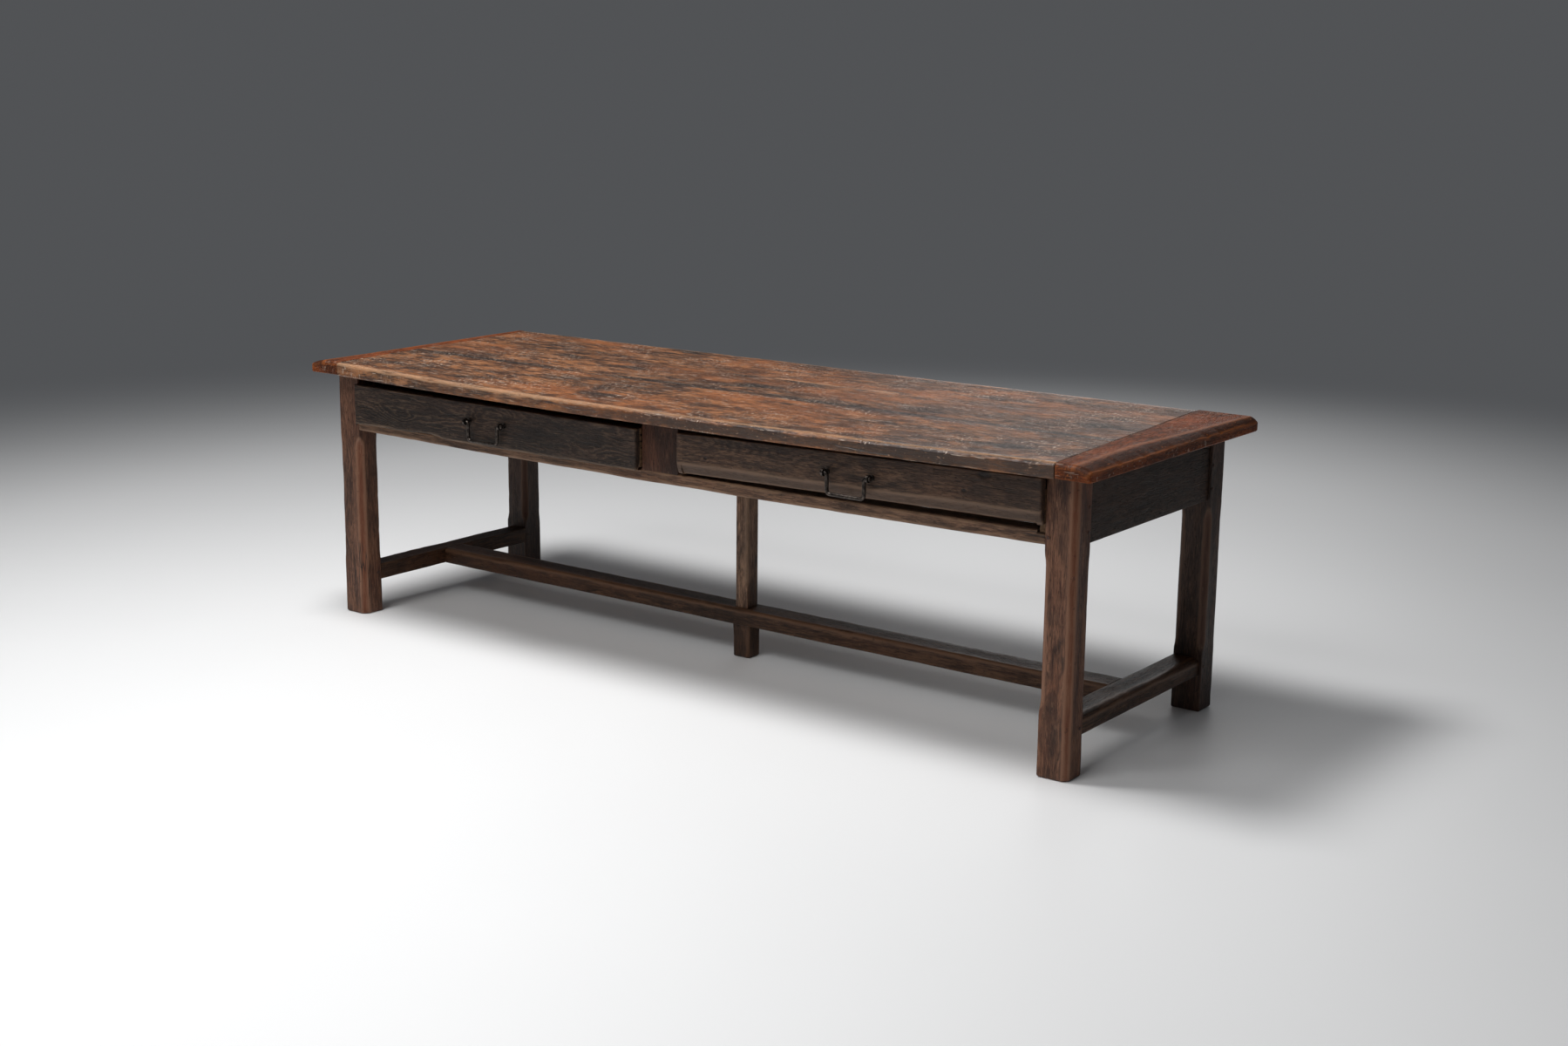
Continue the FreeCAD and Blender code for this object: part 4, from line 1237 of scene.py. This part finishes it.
def stubs(name, places):
    """Points for the fixings tree: a middle, a line and a length for each stub."""
    mesh = bpy.data.meshes.new(name)
    mesh.from_pydata([middle for middle, _, _ in places], [], [])
    facing = mesh.attributes.new("facing", "FLOAT_VECTOR", "POINT")
    facing.data.foreach_set("vector", [c for _, line, _ in places for c in line])
    mesh.attributes.new("reach", "FLOAT", "POINT").data.foreach_set("value", [r for _, _, r in places])
    return mesh


# How far the heads stand out, and how many sides they have and how much their sizes differ
PEG_PROUD = 1.6 * MM
FLUSH = 0.1 * MM
NAIL_PROUD = 0.8 * MM
PEG_SHAPE = {"Facets": 9, "Uneven": 0.08}
NAIL_SHAPE = {"Facets": 7, "Uneven": 0.12}
FIXINGS = fixings_tree()
ROD = rod_tree()
IRON = forged_iron("forged_iron")
PEG_OAK = end_grain("peg_end_grain", "leg", 61.0, "heart")
DARK_PEG_OAK = end_grain("top_peg_end_grain", "top", 62.0, "pale")


def pegs(node, finish, seed, in_top=False):
    """Riven pegs in place of the round ones: flush in the top, elsewhere a little proud at both ends."""
    proud = FLUSH if in_top else PEG_PROUD
    places = []
    for lo, hi in solids_of(node):
        size = hi - lo
        axis = max(range(3), key=lambda i: size[i])
        line = Vector([1.0 if i == axis else 0.0 for i in range(3)])
        middle = (lo + hi) / 2
        middle.z -= sunk(middle.x, middle.y) if in_top else 0.0
        places.append((middle, line, size[axis] + 2 * proud))
    thick = min(size) / 2
    mesh = grown(node, FIXINGS, stubs(node, places), {"Radius": thick, "Seed": seed, "Finish": finish, **PEG_SHAPE})
    piece("riven_" + node, mesh, "table", finish, node)


def nails(name, seed):
    """Hammered heads on the outside of a drawer's sides."""
    node = "drawer_" + name + "_nails"
    middle = (low(node).x + high(node).x) / 2
    places = []
    for lo, hi in solids_of(node):
        outer = lo.x if lo.x < middle else hi.x
        places.append((Vector((outer, (lo.y + hi.y) / 2, (lo.z + hi.z) / 2)), Vector((1, 0, 0)), 2 * NAIL_PROUD))
        head = (hi.y - lo.y) / 2
    mesh = grown(node, FIXINGS, stubs(node, places), {"Radius": head, "Seed": seed, "Finish": IRON, **NAIL_SHAPE})
    piece("hammered_" + node, mesh, "drawer_" + name, IRON, node)


END_BEND = 8 * MM
CORNER_BEND = 11 * MM
TIP_LENGTH = 17 * MM

# Size of the beads on a bail's tips against its rod, and how the rod is made up
BEAD_SIZE = 1.22
ROD_SHAPE = {"Sides": 14, "Spacing": 3 * MM, "Hammering": 0.7 * MM}


def bail(name):
    """A U of forged rod whose ends turn outward through the eyes."""
    node = "bail_" + name
    lo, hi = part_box(node)
    radius = (hi.y - lo.y) / 2
    y = (lo.y + hi.y) / 2
    top, bottom = hi.z - radius, lo.z + radius
    left, right = lo.x + TIP_LENGTH, hi.x - TIP_LENGTH
    line = [(lo.x, top), (left, top), (left, bottom), (right, bottom), (right, top), (hi.x, top)]
    path = bpy.data.meshes.new(node)
    path.from_pydata([(x, y, z) for x, z in line], [(i, i + 1) for i in range(len(line) - 1)], [])
    bends = [0.0, END_BEND, CORNER_BEND, CORNER_BEND, END_BEND, 0.0]
    path.attributes.new("bend", "FLOAT", "POINT").data.foreach_set("value", bends)
    path.attributes.new("tip", "BOOLEAN", "POINT").data.foreach_set("value", [b == 0.0 for b in bends])
    mesh = grown(node, ROD, path, {"Radius": radius, "Bead": BEAD_SIZE * radius, "Finish": IRON, **ROD_SHAPE})
    piece("forged_" + node, mesh, node, IRON, node)


pegs("apron_pegs", PEG_OAK, 1)
pegs("rail_pegs", PEG_OAK, 2)
pegs("stretcher_pegs", PEG_OAK, 3)
pegs("top_pegs", DARK_PEG_OAK, 4, True)
pegs("breadboard_pegs", DARK_PEG_OAK, 5, True)
for name, seed in (("left", 6), ("right", 7)):
    nails(name, seed)
    bail(name)
    clothe("drawer_" + name + "_eyes", IRON)
    clothe("drawer_" + name + "_roves", IRON)

INNER_OAK = oak("oak_inside_frame", "inside", 1, 71.0, beside("guide_middle", 0.05, 0.0, 0.1), grime=0.6,
                warmth=0.3, rough=0.7)
for node in ("runner_left", "runner_right", "guide_left", "guide_right", "guide_middle", "kicker_left",
             "kicker_right", "middle_bearer", "top_bearer"):
    clothe(node, INNER_OAK)


# Floor, light and camera

# The floor's reach, the sides of its rim, and how far it lies under the feet
FLOOR_REACH = 9.0
FLOOR_SIDES = 96
FLOOR_GAP = 0.3 * MM

# Lamps: place, what they face, width, depth, power in watts and spread in degrees
LAMPS = {"overhead_left": ((-1.0, -0.8, 4.2), (0.1, 0.0, 0.4), 1.4, 1.1, 160, 180),
         "front_above": ((0.0, -4.6, 4.8), (0.3, -2.9, 0.0), 4.0, 2.5, 64, 95),
         "behind": ((-1.4, 5.0, 2.0), (0.6, 0.0, 0.7), 2.5, 1.2, 18, 180)}

# The camera, fitted to the photograph: place, three angles in degrees, lens and sensor in mm
CAMERA_PLACE = (3.4693, -4.4696, 1.6504)
CAMERA_AZIMUTH = 36.83
CAMERA_ELEVATION = 12.67
CAMERA_ROLL = 0.557
CAMERA_LENS = 48.31
CAMERA_SENSOR = 36.0


def studio_floor():
    mesh = bpy.data.meshes.new("studio_floor")
    turns = [2 * math.pi * i / FLOOR_SIDES for i in range(FLOOR_SIDES)]
    rim = [(FLOOR_REACH * math.cos(a), FLOOR_REACH * math.sin(a), FLOOR - FLOOR_GAP) for a in turns]
    mesh.from_pydata(rim, [], [tuple(range(FLOOR_SIDES))])
    mesh.materials.append(floor_paint("pale_floor"))
    made = bpy.data.objects.new("studio_floor", mesh)
    bpy.context.scene.collection.objects.link(made)


def soft_lamp(name, place, target, width, depth, power, spread):
    lamp = bpy.data.lights.new(name, "AREA")
    lamp.shape = "RECTANGLE"
    lamp.size, lamp.size_y = width, depth
    lamp.energy = power
    lamp.spread = math.radians(spread)
    made = bpy.data.objects.new(name, lamp)
    made.location = place
    made.rotation_euler = (Vector(target) - Vector(place)).to_track_quat("-Z", "Y").to_euler()
    bpy.context.scene.collection.objects.link(made)


def room_light():
    world = bpy.data.worlds.new("room")
    world.use_nodes = True
    world.node_tree.nodes["Background"].inputs["Color"].default_value = ROOM_GREY
    bpy.context.scene.world = world


def photo_camera():
    data = bpy.data.cameras.new("camera")
    data.sensor_fit = "HORIZONTAL"
    data.sensor_width = CAMERA_SENSOR
    data.lens = CAMERA_LENS
    made = bpy.data.objects.new("camera", data)
    bpy.context.scene.collection.objects.link(made)
    turn = Matrix.Rotation(math.radians(CAMERA_AZIMUTH), 4, "Z")
    tilt = Matrix.Rotation(math.radians(90 - CAMERA_ELEVATION), 4, "X")
    roll = Matrix.Rotation(math.radians(CAMERA_ROLL), 4, "Z")
    made.matrix_world = Matrix.Translation(CAMERA_PLACE) @ turn @ tilt @ roll
    bpy.context.scene.camera = made


studio_floor()
room_light()
for name, settings in LAMPS.items():
    soft_lamp(name, *settings)
photo_camera()
bpy.context.scene.view_settings.view_transform = "Standard"
